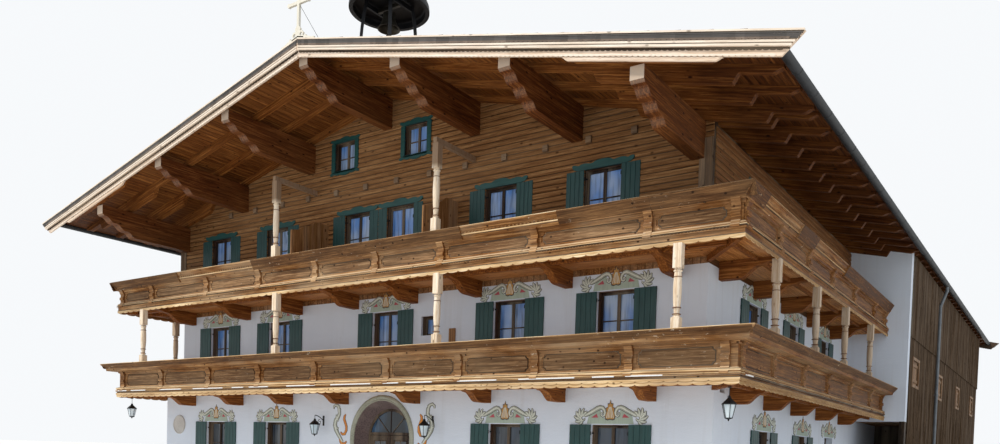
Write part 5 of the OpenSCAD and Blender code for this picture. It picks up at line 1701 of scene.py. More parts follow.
@dataclass
class BalconyTrim:
    """The fine parts of one balcony: scalloped edges, flashing, panels and boards of the flower boxes."""

    palette: Palette
    repeat: RepeatTree
    name: str
    foot: float
    rail: float
    rail_out: float
    bays_front: tuple[float, ...]
    bays_side: tuple[float, ...]
    lower: bool
    boxes_front: tuple[Flat, ...]
    boxes_side: tuple[Flat, ...]
    notch: float = 0.062
    scallop: float = 0.3
    bead: float = 0.07
    dentil: float = 0.1
    box_board: float = 2.4

    @property
    def stations(self) -> list[tuple[Station, Flat]]:
        """The three parapets, each with where it starts and ends."""
        front = Station(Side.FRONT, Size.BALCONY_OUT)
        reach = Size.HALF + Size.SIDE_OUT
        right, left = Station(Side.RIGHT, reach), Station(Side.LEFT, reach)
        beside = (-Size.BALCONY_OUT, Size.DWELLING)
        return [(front, (-reach, reach)), (right, beside), (left, beside)]

    def strip(self, draft: Draft, out: Flat, up: Flat, chamfer: float = 0.0) -> None:
        """Adds a strip along all three parapets, butted at the corners."""
        for station, (start, end) in self.stations:
            if station.side is Side.FRONT:
                span = (start - out[1], end + out[1])
            else:
                span = (start - out[0], end)
            draft.block(station, span, out, (self.foot + up[0], self.foot + up[1]), chamfer)

    def build(self) -> None:
        """Makes all pieces of this balcony."""
        pale, panels, white, boards, dark = Draft(), Draft(), Draft(), Draft(), Draft()
        rail = self.rail
        self.scallops("a", -0.035, 0.045, 0.012 if self.lower else 0.014)
        if self.lower:
            self.scallops("b", 0.035, 0.1, 0.026)
            strips = (
                (dark, (-0.05, 0.014), (rail - 0.224, rail - 0.21), 0.0),
                (dark, (0.0, 0.018), (0.102, 0.114), 0.0),
                (dark, (0.0, 0.03), (0.146, 0.158), 0.0),
                (pale, (-0.03, 0.03), (0.226, 0.262), 0.008),
                (dark, (-0.03, 0.02), (0.264, 0.274), 0.0),
                (pale, (0.0, 0.04), (0.185, 0.2), 0.005),
                (pale, (-0.02, 0.03), (rail - 0.21, rail - 0.14), 0.01),
            )
        else:
            self.beads(0.15, 0.195)
            self.dentils()
            strips = (
                (dark, (0.0, 0.06), (rail - 0.19, rail - 0.178), 0.0),
                (dark, (0.0, 0.012), (0.05, 0.062), 0.0),
                (dark, (0.0, 0.034), (0.198, 0.21), 0.0),
                (pale, (0.0, 0.04), (0.21, 0.225), 0.005),
                (pale, (0.0, 0.075), (rail - 0.178, rail - 0.148), 0.006),
            )
        for draft, out, up, chamfer in strips:
            self.strip(draft, out, up, chamfer)
        if self.lower:
            self.flashing(white, dark)
        self.box_boards(boards)
        self.panels(panels, dark)
        self.top_edge(pale)
        for draft, name, finish, slot in (
            (dark, "shadow_lines", self.palette.verge_gap, "larch"),
            (pale, "pale_ledges", self.palette.pale_trim, "larch_pale"),
            (panels, "panels", self.palette.panel, "larch"),
            (boards, "box_boards", self.palette.box_board, "larch"),
            (white, "flashing", self.palette.flashing, "white_paint"),
        ):
            if draft.corners:
                hand_over(draft.piece(f"{self.name}_{name}"), finish, slot)

    def scallops(self, tag: str, low: float, high: float, out: float) -> None:
        """Repeats a scallop along the three parapets' lower edge.

        Args:
            tag: Ending of the piece's name.
            low: Lowest point over the fascia's foot.
            high: Upper edge over the fascia's foot.
            out: How far its face stands out.
        """
        parts = []
        for station, (start, end) in self.stations:
            more = out if station.side is Side.FRONT else 0.0
            first, length = start - more, end - start + 2 * more
            count = int(length / self.scallop)
            width = length / count
            foot, top, drop = self.foot + low, self.foot + high, 0.45 * (high - low)
            outline = [(first, top), (first, foot + drop)]
            for x, z in arc((1.0, 1.0), 1.0, math.pi, math.tau, 8)[1:-1]:
                outline.append((first + width * x / 2, foot + drop * z))
            outline += [(first + width, foot + drop), (first + width, top)]
            shape = Draft()
            shape.panel(station, outline, 0.0, out)
            name = f"{self.name}_scallop_{station.side.value}"
            parts.append(self.repeat.repeat(name, shape, self.palette.pale_trim, count, station.step(width)))
        hand_over(join(f"{self.name}_scallops_{tag}", parts), self.palette.pale_trim, "larch_pale")

    def beads(self, low: float, high: float) -> None:
        """Repeats the carved beads of the upper balcony's fascia."""
        radius, middle = (high - low) / 2 - 0.002, self.foot + (low + high) / 2
        unit = arc((0.0, 0.0), 1.0, 0.0, math.tau, 8)[:-1]
        parts = []
        for station, (start, end) in self.stations:
            shape = Draft()
            rings = []
            for out, share in ((0.0, 1.0), (0.006, 1.0), (0.014, 0.5)):
                wide, tall = share * 1.3 * radius, share * radius
                rings.append([station.place(start + 0.05 + wide * a, out, middle + tall * b) for a, b in unit])
            shape.ring_stack(rings)
            parts.append(self.row("bead", shape, station, end - start - 0.1, self.bead))
        hand_over(join(f"{self.name}_bead_row", parts), self.palette.parapet, "larch")

    def dentils(self) -> None:
        """Repeats the small blocks under the upper balcony's cornice."""
        up = (self.foot + self.rail - 0.143, self.foot + self.rail - 0.113)
        parts = []
        for station, (start, end) in self.stations:
            shape = Draft()
            shape.block(station, (start + 0.02, start + 0.07), (0.055, 0.078), up, 0.004)
            parts.append(self.row("dentil", shape, station, end - start - 0.05, self.dentil))
        hand_over(join(f"{self.name}_dentil_row", parts), self.palette.parapet, "larch")

    def row(self, tag: str, shape: Draft, station: Station, length: float, pitch: float) -> bpy.types.Object:
        """Repeats a shape along a parapet as often as its length allows."""
        name, count = f"{self.name}_{tag}", int(length / pitch)
        return self.repeat.repeat(name, shape, self.palette.parapet, count, station.step(pitch))

    def flashing(self, draft: Draft, dark: Draft) -> None:
        """Adds the short pieces of white flashing on the front fascia, and on the sides one white piece at the front
        followed by a dark strip of painted shade.
        """
        out, low, high = (0.0, 0.042), self.foot + 0.158, self.foot + 0.184
        for station, (start, end) in self.stations:
            if station.side is not Side.FRONT:
                draft.block(station, (start + 0.25, start + 0.7), out, (low, high), 0.002)
                dark.block(station, (start + 0.72, end - 0.02), (0.0, 0.038), (low, high + 0.004), 0.002)
                continue
            along, number = start + 0.1, 0
            while along < end - 1.0:
                length = 0.5 + 0.9 * ((number * 5) % 4) / 3
                draft.block(station, (along, along + length), out, (low, high), 0.002)
                along += length + 0.25 + 0.5 * ((number * 3) % 4) / 3
                number += 1

    def panels(self, draft: Draft, dark: Draft) -> None:
        """Adds the raised field with round-cut corners inside each sunk panel, and a painted shadow line round it."""
        low, high = self.foot + 0.36, self.foot + self.rail - (0.33 if self.lower else 0.37)
        for station, _ in self.stations:
            bays = self.bays_front if station.side is Side.FRONT else self.bays_side
            for a0, a1 in zip(bays, bays[1:]):
                left, right = a0 + 0.21, a1 - 0.21
                if right - left < 0.2:
                    continue
                for target, grow, face in ((draft, 0.0, -0.064), (dark, 0.016, -0.072)):
                    corners = (
                        (left - grow, low - grow, 90), (right + grow, low - grow, 180),
                        (right + grow, high + grow, 270), (left - grow, high + grow, 0),
                    )
                    outline: list[Flat] = []
                    for a, u, turn in corners:
                        outline += arc((a, u), self.notch, math.radians(turn), math.radians(turn - 90), 4)
                    target.panel(station, outline, -0.088, face)

    def box_boards(self, draft: Draft) -> None:
        """Adds the brown boards of the flower boxes' sloped fronts, butted at equal lengths."""
        low, high = self.rail - (0.142 if self.lower else 0.255), self.rail - 0.024
        foot, head = self.rail_out - 0.12 if self.lower else 0.042, self.rail_out
        section = ((foot - 0.01, low), (foot + 0.012, low + 0.004), (head + 0.008, high))
        section += ((head + 0.008, high + 0.016), (head - 0.01, high + 0.016))
        for station, _ in self.stations:
            for start, end in self.boxes_front if station.side is Side.FRONT else self.boxes_side:
                for ends in parts_of(start, end, max(1, round((end - start) / self.box_board)), 0.002):
                    draft.ring_stack([[station.place(a, o, self.foot + u) for o, u in section] for a in ends])

    def top_edge(self, draft: Draft) -> None:
        """Adds the thin pale edge on top of the parapet."""
        out = self.rail_out if self.lower else self.rail_out - 0.03
        self.strip(draft, (out - 0.022, out + 0.004), (self.rail - 0.002, self.rail + 0.012), 0.002)


@dataclass
class Undersides:
    """Thin boards under the decks and under the roof, and a long joist under each deck."""

    palette: Palette
    board: float = 0.17
    joist_out: float = 0.98

    def build(self) -> None:
        """Makes the boards."""
        decks, joists = Draft(), Draft()
        for foot, root in ((Size.LOWER_BALCONY, Size.PLINTH), (Size.UPPER_BALCONY, 0.0)):
            self.deck(decks, foot + 0.1, root)
            self.joist(joists, foot + 0.1)
        hand_over(decks.piece("deck_soffit_boards"), self.palette.deck, "larch")
        hand_over(joists.piece("deck_long_joists"), self.palette.console, "larch")
        self.roof()

    def deck(self, draft: Draft, top: float, root: float) -> None:
        """Adds the boards under one deck, mitred at the corners."""
        inner_x, outer_x = Size.HALF + root, Size.HALF + Size.SIDE_OUT - 0.11
        inner_y, outer_y = root, Size.BALCONY_OUT - 0.11
        heights = (top - 0.008, top + 0.002)
        for shares in parts_of(0.0, 1.0, round((outer_y - inner_y) / self.board), 0.002):
            x0, x1 = (inner_x + share * (outer_x - inner_x) for share in shares)
            y0, y1 = (inner_y + share * (outer_y - inner_y) for share in shares)
            draft.slab([(-x0, -y0), (x0, -y0), (x1, -y1), (-x1, -y1)], *heights)
            for sign in (-1, 1):
                inner, outer = sign * x0, sign * x1
                draft.slab([(inner, -y0), (outer, -y1), (outer, Size.DWELLING), (inner, Size.DWELLING)], *heights)

    def joist(self, draft: Draft, top: float) -> None:
        """Adds the joist that runs along the middle of one deck."""
        front = Station(Side.FRONT, self.joist_out)
        out, up = (0.0, 0.07), (top - 0.09, top - 0.008)
        draft.block(front, (-9.75, 9.75), out, up, 0.008)
        for side in (Side.RIGHT, Side.LEFT):
            draft.block(Station(side, 9.79), (-self.joist_out, Size.DWELLING), out, up, 0.008)

    def roof(self) -> None:
        """Adds the boards under the roof covering."""
        draft = Draft()
        half = Size.SLAB_HALF - 0.005
        under = Station(Side.FRONT, 0.0)
        for x0, x1 in parts_of(0.0, half, round(half / self.board), 0.002):
            z0, z1 = Size.cover_under(x0), Size.cover_under(x1)
            outline = [(x0, z0 + 0.004), (x0, z0 - 0.01), (x1, z1 - 0.01), (x1, z1 + 0.004)]
            draft.panel(under, outline, -Size.ROOF_BACK + 0.1, Size.OVERHANG - 0.1)
        draft.mirror()
        hand_over(draft.piece("roof_soffit_boards"), self.palette.roof_board, "larch")


@dataclass
class Bands:
    """The joints of the gutters and the dark rings of the turned posts."""

    palette: Palette
    repeat: RepeatTree
    pitch: float = 1.05
    front_posts: tuple[float, ...] = (-8.87, -2.62, 3.02, 8.99)
    side_posts: tuple[float, ...] = (0.53, 3.72, 6.69, 9.92)
    free_posts: tuple[float, ...] = (-2.7, 2.9)
    post_y: float = -1.55
    side_post_x: float = 10.26
    low_rings: tuple[float, ...] = (4.335, 4.46, 5.05, 5.18)
    high_rings: tuple[float, ...] = (7.04, 7.2, 7.94, 8.08)

    def build(self) -> None:
        """Makes the joints and the rings."""
        joint = Draft()
        under = arc((Size.SLAB_HALF, Size.GUTTER_Z), 0.094, math.pi, math.tau, 12)
        joint.rod([(x, -3.0, z) for x, z in under], 0.008, 6)
        count = int((Size.ROOF_BACK + 2.8) / self.pitch)
        row = self.repeat.repeat("gutter_joint", joint, self.palette.gutter, count, (0.0, self.pitch, 0.0))
        hand_over(join("gutter_joints", [row], mirrored=True), self.palette.gutter, "gutter_metal")
        rings = Draft()
        low = [(x, self.post_y) for x in self.front_posts]
        low += [(sign * self.side_post_x, y) for y in self.side_posts for sign in (-1, 1)]
        high = [(x, self.post_y) for x in self.free_posts]
        for places, heights in ((low, self.low_rings), (high, self.high_rings)):
            for x, y in places:
                for z in heights:
                    self.ring(rings, (x, y, z))
        hand_over(rings.piece("post_rings"), self.palette.post_ring, "larch_pale")

    @staticmethod
    def ring(draft: Draft, centre: Point) -> None:
        """Adds one ring round a turned post."""
        draft.lathe(centre, ((0.074, 0.0), (0.086, 0.004), (0.086, 0.014), (0.074, 0.018)), 12)


@dataclass
class RoofCovering:
    """Split shingles in overlapping rows, the ridge boards and the verges' strips."""

    palette: Palette
    repeat: RepeatTree
    exposure: float = 0.29
    width: float = 0.24
    scallop: float = 0.11
    start: float = 0.02
    board_in: float = 0.045

    def build(self) -> None:
        """Makes the shingles, the ridge and the verge's fine parts."""
        self.shingles()
        self.ridge()
        self.verges()

    def shingles(self) -> None:
        """Repeats a pair of shingles over one slope and mirrors it."""
        shape = Draft()
        station = Station(Side.FRONT, 0.0)
        drop = self.exposure
        for row, shift in ((0, 0.0), (1, 0.5 * self.width)):
            x0 = 0.02 + row * drop
            x1 = x0 + drop + 0.03
            top0, top1 = Size.roof_top(x0), Size.roof_top(x1)
            outline = [(x0, top0 + 0.002), (x1, top1 + 0.004), (x1, top1 + 0.026), (x0, top0 + 0.01)]
            back = -(-Size.OVERHANG + shift + self.width - 0.006)
            shape.panel(station, outline, back, Size.OVERHANG - shift)
        rows = int((Size.SLAB_HALF - 0.04) / (2 * drop))
        count = int((Size.OVERHANG + Size.ROOF_BACK - 0.6 * self.width) / self.width)
        one = self.repeat.repeat(
            "shingle_slope",
            shape,
            self.palette.shingle,
            count,
            (0.0, self.width, 0.0),
            rows,
            (2 * drop, 0.0, -Size.SLOPE * 2 * drop),
            (0.006, 0.0, 0.002),
            7,
        )
        right = join("shingles_right", [one])
        other = link_object("shingles_left", right.data.copy())
        work = bmesh.new()
        work.from_mesh(other.data)
        bmesh.ops.scale(work, vec=MIRROR, verts=work.verts)
        bmesh.ops.reverse_faces(work, faces=work.faces)
        work.to_mesh(other.data)
        work.free()
        for piece in (right, other):
            hand_over(piece, self.palette.shingle, "shingle")

    def ridge(self) -> None:
        """Adds two boards over the ridge, left open at the turret."""
        draft = Draft()
        station = Station(Side.FRONT, 0.0)
        for back, front in ((-Size.ROOF_BACK, -0.42), (0.82, Size.OVERHANG)):
            for sign in (-1, 1):
                section = ((0.0, 0.035), (0.2, 0.03), (0.2, 0.055), (0.0, 0.062))
                draft.panel(station, [(sign * x, Size.roof_top(x) + lift) for x, lift in section], back, front)
        hand_over(draft.piece("ridge_boards"), self.palette.shingle, "shingle")

    def verges(self) -> None:
        """Adds the pale top edge, the shingle ends, the boards' edges with painted shadow gaps between them, and the
        scallops on both gables.
        """
        pale, ends, gaps = Draft(), Draft(), Draft()
        # The gap row is painted shadow under the scalloped board's edge.
        rows = (
            ("ends", 0.0, 0.134, self.palette.shingle),
            ("gap", self.board_in, 0.286, self.palette.verge_gap),
            ("fringe", self.board_in, 0.386, self.palette.verge_pale),
        )
        fringes: dict[str, list[bpy.types.Object]] = {tag: [] for tag, *_ in rows}
        for side, face in ((Side.FRONT, Size.OVERHANG), (Side.REAR, Size.ROOF_BACK)):
            station = Station(side, face)
            for draft, low, high, back, front in (
                (pale, -0.014, 0.016, -0.02, 0.014),
                (gaps, 0.016, 0.032, -0.02, 0.004),
                (ends, 0.034, 0.056, -0.02, 0.012),
                (ends, 0.06, 0.082, -0.02, 0.007),
                (ends, 0.086, 0.11, -0.02, 0.01),
                (ends, 0.113, 0.134, -0.02, 0.006),
                (gaps, 0.136, 0.152, -0.01, 0.003),
                (pale, 0.16, 0.196, -0.01, 0.01),
                (gaps, 0.2, 0.212, -0.01, 0.004),
                (pale, 0.216, 0.256, -0.01, 0.014),
            ):
                self.strip(draft, station, low, high, (back, front))
            self.strip(gaps, Station(side, face - self.board_in), 0.258, 0.286, (-0.01, 0.012))
            for tag, back, depth, finish in rows:
                shape = Draft()
                shape.panel(Station(side, face - back), self.scallop_outline(depth), -0.01, 0.013)
                reach = Size.VERGE_TIP - Size.VERGE_RAKE * (depth + 0.02)
                count = int((reach - self.start) / self.scallop)
                step = (self.scallop, 0.0, -Size.SLOPE * self.scallop)
                name = f"verge_{tag}_scallop_{side.value}"
                fringes[tag].append(self.repeat.repeat(name, shape, finish, count, step))
        for tag, _, _, finish in rows:
            hand_over(join("verge_scallops_" + tag, fringes[tag], mirrored=True), finish, "larch_pale")
        for draft, name, finish, slot in (
            (pale, "verge_pale_edges", self.palette.verge_pale, "larch_pale"),
            (gaps, "verge_shadow_gaps", self.palette.verge_gap, "larch_pale"),
            (ends, "verge_shingle_ends", self.palette.shingle_end, "shingle"),
        ):
            draft.mirror()
            hand_over(draft.piece(name), finish, slot)

    def strip(self, draft: Draft, station: Station, low: float, high: float, out: Flat) -> None:
        """Adds one strip along the verge, from its upper to its lower depth below the roof's top."""
        tip = Size.VERGE_TIP - Size.VERGE_RAKE * max(low, 0.0)
        corners = ((self.start, low), (tip, low), (tip, high), (self.start, high))
        draft.panel(station, [(x, Size.roof_top(x) - depth) for x, depth in corners], *out)

    def scallop_outline(self, depth: float) -> list[Flat]:
        """The outline of one scallop whose tips hang at a depth below the roof's top."""
        outline = []
        for i in range(7):
            angle = math.pi * i / 6
            x = self.start + self.scallop * (0.5 - 0.5 * math.cos(angle))
            outline.append((x, Size.roof_top(x) - depth - 0.022 * math.sin(angle)))
        ends = (self.start + self.scallop, self.start)
        return outline + [(x, Size.roof_top(x) - depth + 0.02) for x in ends]


@dataclass
class Entrance:
    """The portal's mouldings, the doors' panes and handles, and the fanlight."""

    palette: Palette
    side_door_in: float = 0.18
    pane_up: Flat = (0.97, 1.79)
    handle_up: Flat = (1.05, 1.27)

    def build(self) -> None:
        """Makes all pieces of the entrance."""
        self.mouldings()
        self.fanlight()
        for sign in (-1, 1):
            self.leaf(sign)
        self.side_leaf()

    def arch_path(self, radius: float) -> list[Flat]:
        """Points up one jamb, over the arch and down the other, for a radius."""
        left, right = Size.DOOR_X - radius, Size.DOOR_X + radius
        over = arc((Size.DOOR_X, Size.SPRING), radius, math.pi, 0.0, 24)
        return [(left, 0.0), (left, 0.9), *over, (right, 0.9), (right, 0.0)]

    def band(self, draft: Draft, radius: float, half: float, out: Flat) -> None:
        """Adds a moulded band round the arch.

        Args:
            draft: Where it goes.
            radius: Radius of its middle.
            half: Half of its width.
            out: Its back and its front from the ground-floor wall.
        """
        station, path = Station(Side.FRONT, Size.PLINTH), self.arch_path(radius)
        section = ((-1.0, 0.0), (-1.0, 0.5), (-0.6, 0.9), (0.0, 1.0), (0.6, 0.9), (1.0, 0.5), (1.0, 0.0))
        rings = []
        for i, (a, u) in enumerate(path):
            before, after = path[max(i - 1, 0)], path[min(i + 1, len(path) - 1)]
            run, rise = after[0] - before[0], after[1] - before[1]
            length = math.hypot(run, rise)
            na, nu = -rise / length, run / length
            ring = []
            for share, depth in section:
                reach = out[0] + (out[1] - out[0]) * depth
                ring.append(station.place(a + na * half * share, reach, u + nu * half * share))
            rings.append(ring)
        draft.ring_stack(rings)

    def mouldings(self) -> None:
        """Adds the grey bands on the face of the portal."""
        draft = Draft()
        self.band(draft, 1.085, 0.05, (0.0, 0.045))
        self.band(draft, 1.015, 0.022, (0.0, 0.03))
        hand_over(smooth(draft.piece("portal_mouldings")), self.palette.moulding, "portal_stone")

    def fanlight(self) -> None:
        """Adds the fanlight's pane and its bars."""
        station = Station(Side.FRONT, 0.0)
        pane, bars = Draft(), Draft()
        foot, radius = 2.01, 0.74
        start = math.asin((foot - Size.SPRING) / radius)
        outline = arc((Size.DOOR_X, Size.SPRING), radius, start, math.pi - start, 16)
        pane.panel(station, outline, -0.036, -0.028)
        for degrees in (50.0, 90.0, 130.0):
            angle = math.radians(degrees)
            tip = (Size.DOOR_X + radius * math.cos(angle), Size.SPRING + radius * math.sin(angle))
            root = (Size.DOOR_X + 0.12 * math.cos(angle), foot)
            bars.ribbon(station, [(root[0], root[1], 0.011), (tip[0], tip[1], 0.011)], -0.045, -0.015)
        hand_over(pane.piece("fanlight_pane"), self.palette.fanlight, "door_wood")
        hand_over(bars.piece("fanlight_bars"), self.palette.door, "door_wood")

    def leaf(self, sign: int) -> None:
        """Adds the pane, beads and handle of one entrance leaf.

        Args:
            sign: -1 for the left leaf and 1 for the right one.
        """
        station, tag = Station(Side.FRONT, 0.0), "left" if sign < 0 else "right"
        left, right = sorted((Size.DOOR_X + sign * 0.145, Size.DOOR_X + sign * 0.58))
        pane, beads, handle = Draft(), Draft(), Draft()
        pane.block(station, (left, right), (-0.018, -0.012), self.pane_up)
        for u in (0.97, 1.235, 1.5, 1.77):
            beads.block(station, (left, right), (-0.02, -0.004), (u, u + 0.02), 0.003)
        for a in (left, (left + right) / 2 - 0.01, right - 0.02):
            beads.plank(station, (a, a + 0.02), (-0.02, -0.004), self.pane_up, 0.003)
        beads.block(station, (left + 0.04, right - 0.04), (-0.02, -0.006), (0.34, 0.76), 0.006)
        self.handle(handle, station, Size.DOOR_X + sign * 0.07, sign)
        body = "entrance_leaf_" + tag
        hand_over(pane.piece(f"entrance_pane_{tag}"), self.palette.dark_pane, "door_wood", body)
        hand_over(beads.piece(f"entrance_beads_{tag}"), self.palette.door, "door_wood", body)
        hand_over(smooth(handle.piece(f"entrance_handle_{tag}")), self.palette.iron, "black_metal", body)

    def handle(self, draft: Draft, station: Station, along: float, sign: int) -> None:
        """Adds a door handle and its plate.

        Args:
            draft: Where it goes.
            station: The door's face.
            along: Middle of its plate.
            sign: The way in which it points along the wall.
        """
        draft.block(station, (along - 0.02, along + 0.02), (0.0, 0.006), self.handle_up, 0.002)
        path = ((0.0, 0.0, 1.2), (0.0, 0.05, 1.2), (0.02, 0.06, 1.2), (0.12, 0.06, 1.195))
        draft.rod([station.place(along + sign * a, out, up) for a, out, up in path], 0.009)

    def side_leaf(self) -> None:
        """Adds the fields and the handle of the side door."""
        station = Station(Side.RIGHT, Size.GROUND_HALF - self.side_door_in)
        fields, handle = Draft(), Draft()
        middle = Size.SIDE_DOOR_Y
        for up in ((0.34, 0.76), (1.02, 1.92)):
            fields.block(station, (middle - 0.22, middle + 0.22), (-0.02, -0.005), up, 0.006)
        self.handle(handle, station, middle - 0.31, 1)
        hand_over(fields.piece("side_door_fields"), self.palette.door, "door_wood", "side_door")
        hand_over(smooth(handle.piece("side_door_handle")), self.palette.iron, "black_metal", "side_door")


@dataclass
class Lanterns:
    """Six-sided lanterns: two hang under the balcony's corners and two stand on arms by the entrance."""

    palette: Palette
    glass_low: float = 0.075
    glass_high: float = 0.135
    hanging: Point = (9.986, -1.218, 2.36)
    ceiling: float = 2.95
    standing: tuple[float, ...] = (-1.95, 2.0015)

    def build(self) -> None:
        """Makes the ironwork and the panes."""
        iron, glass = Draft(), Draft()
        for sign in (-1, 1):
            x, y, foot = sign * self.hanging[0], *self.hanging[1:]
            self.body(iron, glass, (x, y, foot), self.ceiling - foot)
            iron.lathe((x, y, self.ceiling - 0.01), ((0.045, 0.0), (0.05, 0.006), (0.02, 0.022)), 12)
        for x in self.standing:
            self.body(iron, glass, (x, -0.68, 1.92), 0.52)
            self.arm(iron, x)
        hand_over(iron.piece("lantern_ironwork"), self.palette.iron, "lantern_iron", stands_for=["lanterns"])
        hand_over(glass.piece("lantern_panes"), self.palette.lantern_pane, "lantern_iron")

    def body(self, iron: Draft, glass: Draft, centre: Point, drop: float) -> None:
        """Adds one lantern.

        Args:
            iron: Where its ironwork goes.
            glass: Where its panes go.
            centre: Middle of its lower rim.
            drop: Height from there to what carries it.
        """
        (x, y, z), r0, r1, height = centre, self.glass_low, self.glass_high, 0.26
        glass.lathe(centre, ((r0 - 0.008, 0.004), (r1 - 0.008, height - 0.004)), 6)
        low, high = (arc((x, y), radius, 0.0, math.tau, 6)[:-1] for radius in (r0, r1))
        for foot, head in zip(low, high):
            iron.rod([(*foot, z), (*head, z + height)], 0.006, 6)
        cup = ((0.008, -0.06), (0.014, -0.05), (0.022, -0.025), (0.06, -0.015), (r0 + 0.006, -0.004))
        iron.lathe(centre, (*cup, (r0 + 0.006, 0.004)), 6)
        hood = ((r1 + 0.006, -0.006), (r1 + 0.018, 0.0), (r1 + 0.012, 0.014), (0.1, 0.06), (0.045, 0.11))
        hood += ((0.03, 0.13), (0.034, 0.15), (0.01, 0.17))
        iron.lathe(centre, [(radius, height + up) for radius, up in hood], 6)
        iron.lathe(centre, ((0.007, height + 0.165), (0.007, drop)), 8)

    @staticmethod
    def arm(iron: Draft, x: float) -> None:
        """Adds the curled arm of a wall lantern at x."""
        shares = [i / 12 for i in range(13)]
        iron.rod([(x, -0.35 - 0.33 * t, 2.3 + 0.14 * math.sin(0.5 * math.pi * t)) for t in shares], 0.011)
        curl = []
        for i in range(19):
            t = i / 18
            angle = math.pi * 0.5 + math.tau * 1.1 * t
            r = 0.075 * (1.0 - 0.75 * t)
            curl.append((x, -0.5 + r * math.cos(angle), 2.26 + r * math.sin(angle)))
        iron.rod(curl, 0.008)
        wall = Station(Side.FRONT, Size.PLINTH)
        iron.block(wall, (x - 0.03, x + 0.03), (0.0, 0.01), (2.16, 2.44), 0.003)


@dataclass
class SmallParts:
    """The stay of the cross on the front apex and the rim of the wall plaque."""

    palette: Palette

    def build(self) -> None:
        """Makes both parts."""
        self.stay()
        self.rim((-8.65, 2.15), 48)

    def stay(self) -> None:
        """Adds the rod that holds the cross upright."""
        draft = Draft()
        y = -Size.OVERHANG + 0.03
        draft.rod([(0.03, y, Size.RIDGE + 0.78), (0.7, y, Size.roof_top(0.7))], 0.005, 6)
        hand_over(draft.piece("cross_stay"), self.palette.iron, "black_metal")

    def rim(self, centre: Flat, sides: int) -> None:
        """Adds the moulded ring round the plaque, from its middle on the wall."""
        section = ((0.27, 0.03), (0.275, 0.042), (0.295, 0.042), (0.302, 0.03), (0.302, 0.0), (0.27, 0.0))
        rings = [arc(centre, radius, 0.0, math.tau, sides)[:-1] for radius, _ in section]
        draft, count = Draft(), len(section)
        for i in range(sides):
            for k, (_, out) in enumerate(section):
                x, z = rings[k][i]
                draft.corners.append((x, -Size.PLINTH - out, z))
                a, b, following = i * count, (i + 1) % sides * count, (k + 1) % count
                draft.faces.append([a + k, a + following, b + following, b + k])
        hand_over(smooth(draft.piece("plaque_rim")), self.palette.plaque, "plaque_stone")


def dress_frame(palette: Palette) -> None:
    """Gives every node of the frame its material."""
    groups = (
        (palette.render, (
            "ground_wall_left", "ground_wall_right", "ground_walls_over_doors", "ground_side_wall_left",
            "ground_side_wall_front", "ground_side_wall_rear", "first_front_wall", "first_side_walls", "return_walls",
        )),
        (palette.portal, ("door_portal",)),
        (palette.door, ("door_frames", "door_leaf_left", "door_leaf_right", "side_door_leaf")),
        (palette.floor_stone, ("ground_floor",)),
        (palette.floor, ("first_floor", "second_floor", "attic_floor")),
        (palette.log_core_shade, ("log_front_wall", "log_side_walls")),
        (palette.barn_core_shade, ("barn_lower_walls", "barn_upper_walls", "barn_rear_wall", "barn_rear_gable")),
        (palette.sash, ("windows",)),
        (palette.barn_window, ("barn_windows",)),
        (palette.shutter, ("shutters",)),
        (palette.carved, ("carved_lintels",)),
        (palette.deck, ("balcony_decks",)),
        (palette.parapet, ("lower_parapet", "upper_parapet")),
        (palette.console, ("console_beams",)),
        (palette.post, ("balcony_posts",)),
        (palette.screen, ("privacy_screens",)),
        (palette.purlin, ("purlins",)),
        (palette.rafter, ("rafters",)),
        (palette.shingle, ("roof_left", "roof_right")),
        (palette.verge, ("verge_boards",)),
        (palette.gutter, ("gutters",)),
        (palette.pipe, ("downpipes",)),
        (palette.ivory, ("gable_cross", "gable_crest")),
        (palette.iron, ("bell_turret", "bell_canopy", "lanterns")),
        (palette.bell, ("bell",)),
        (palette.plaque, ("wall_plaque",)),
    )
    finishes = {name: finish for finish, names in groups for name in names}
    for name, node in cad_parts.items():
        node.data.materials.clear()
        node.data.materials.append(finishes[name])


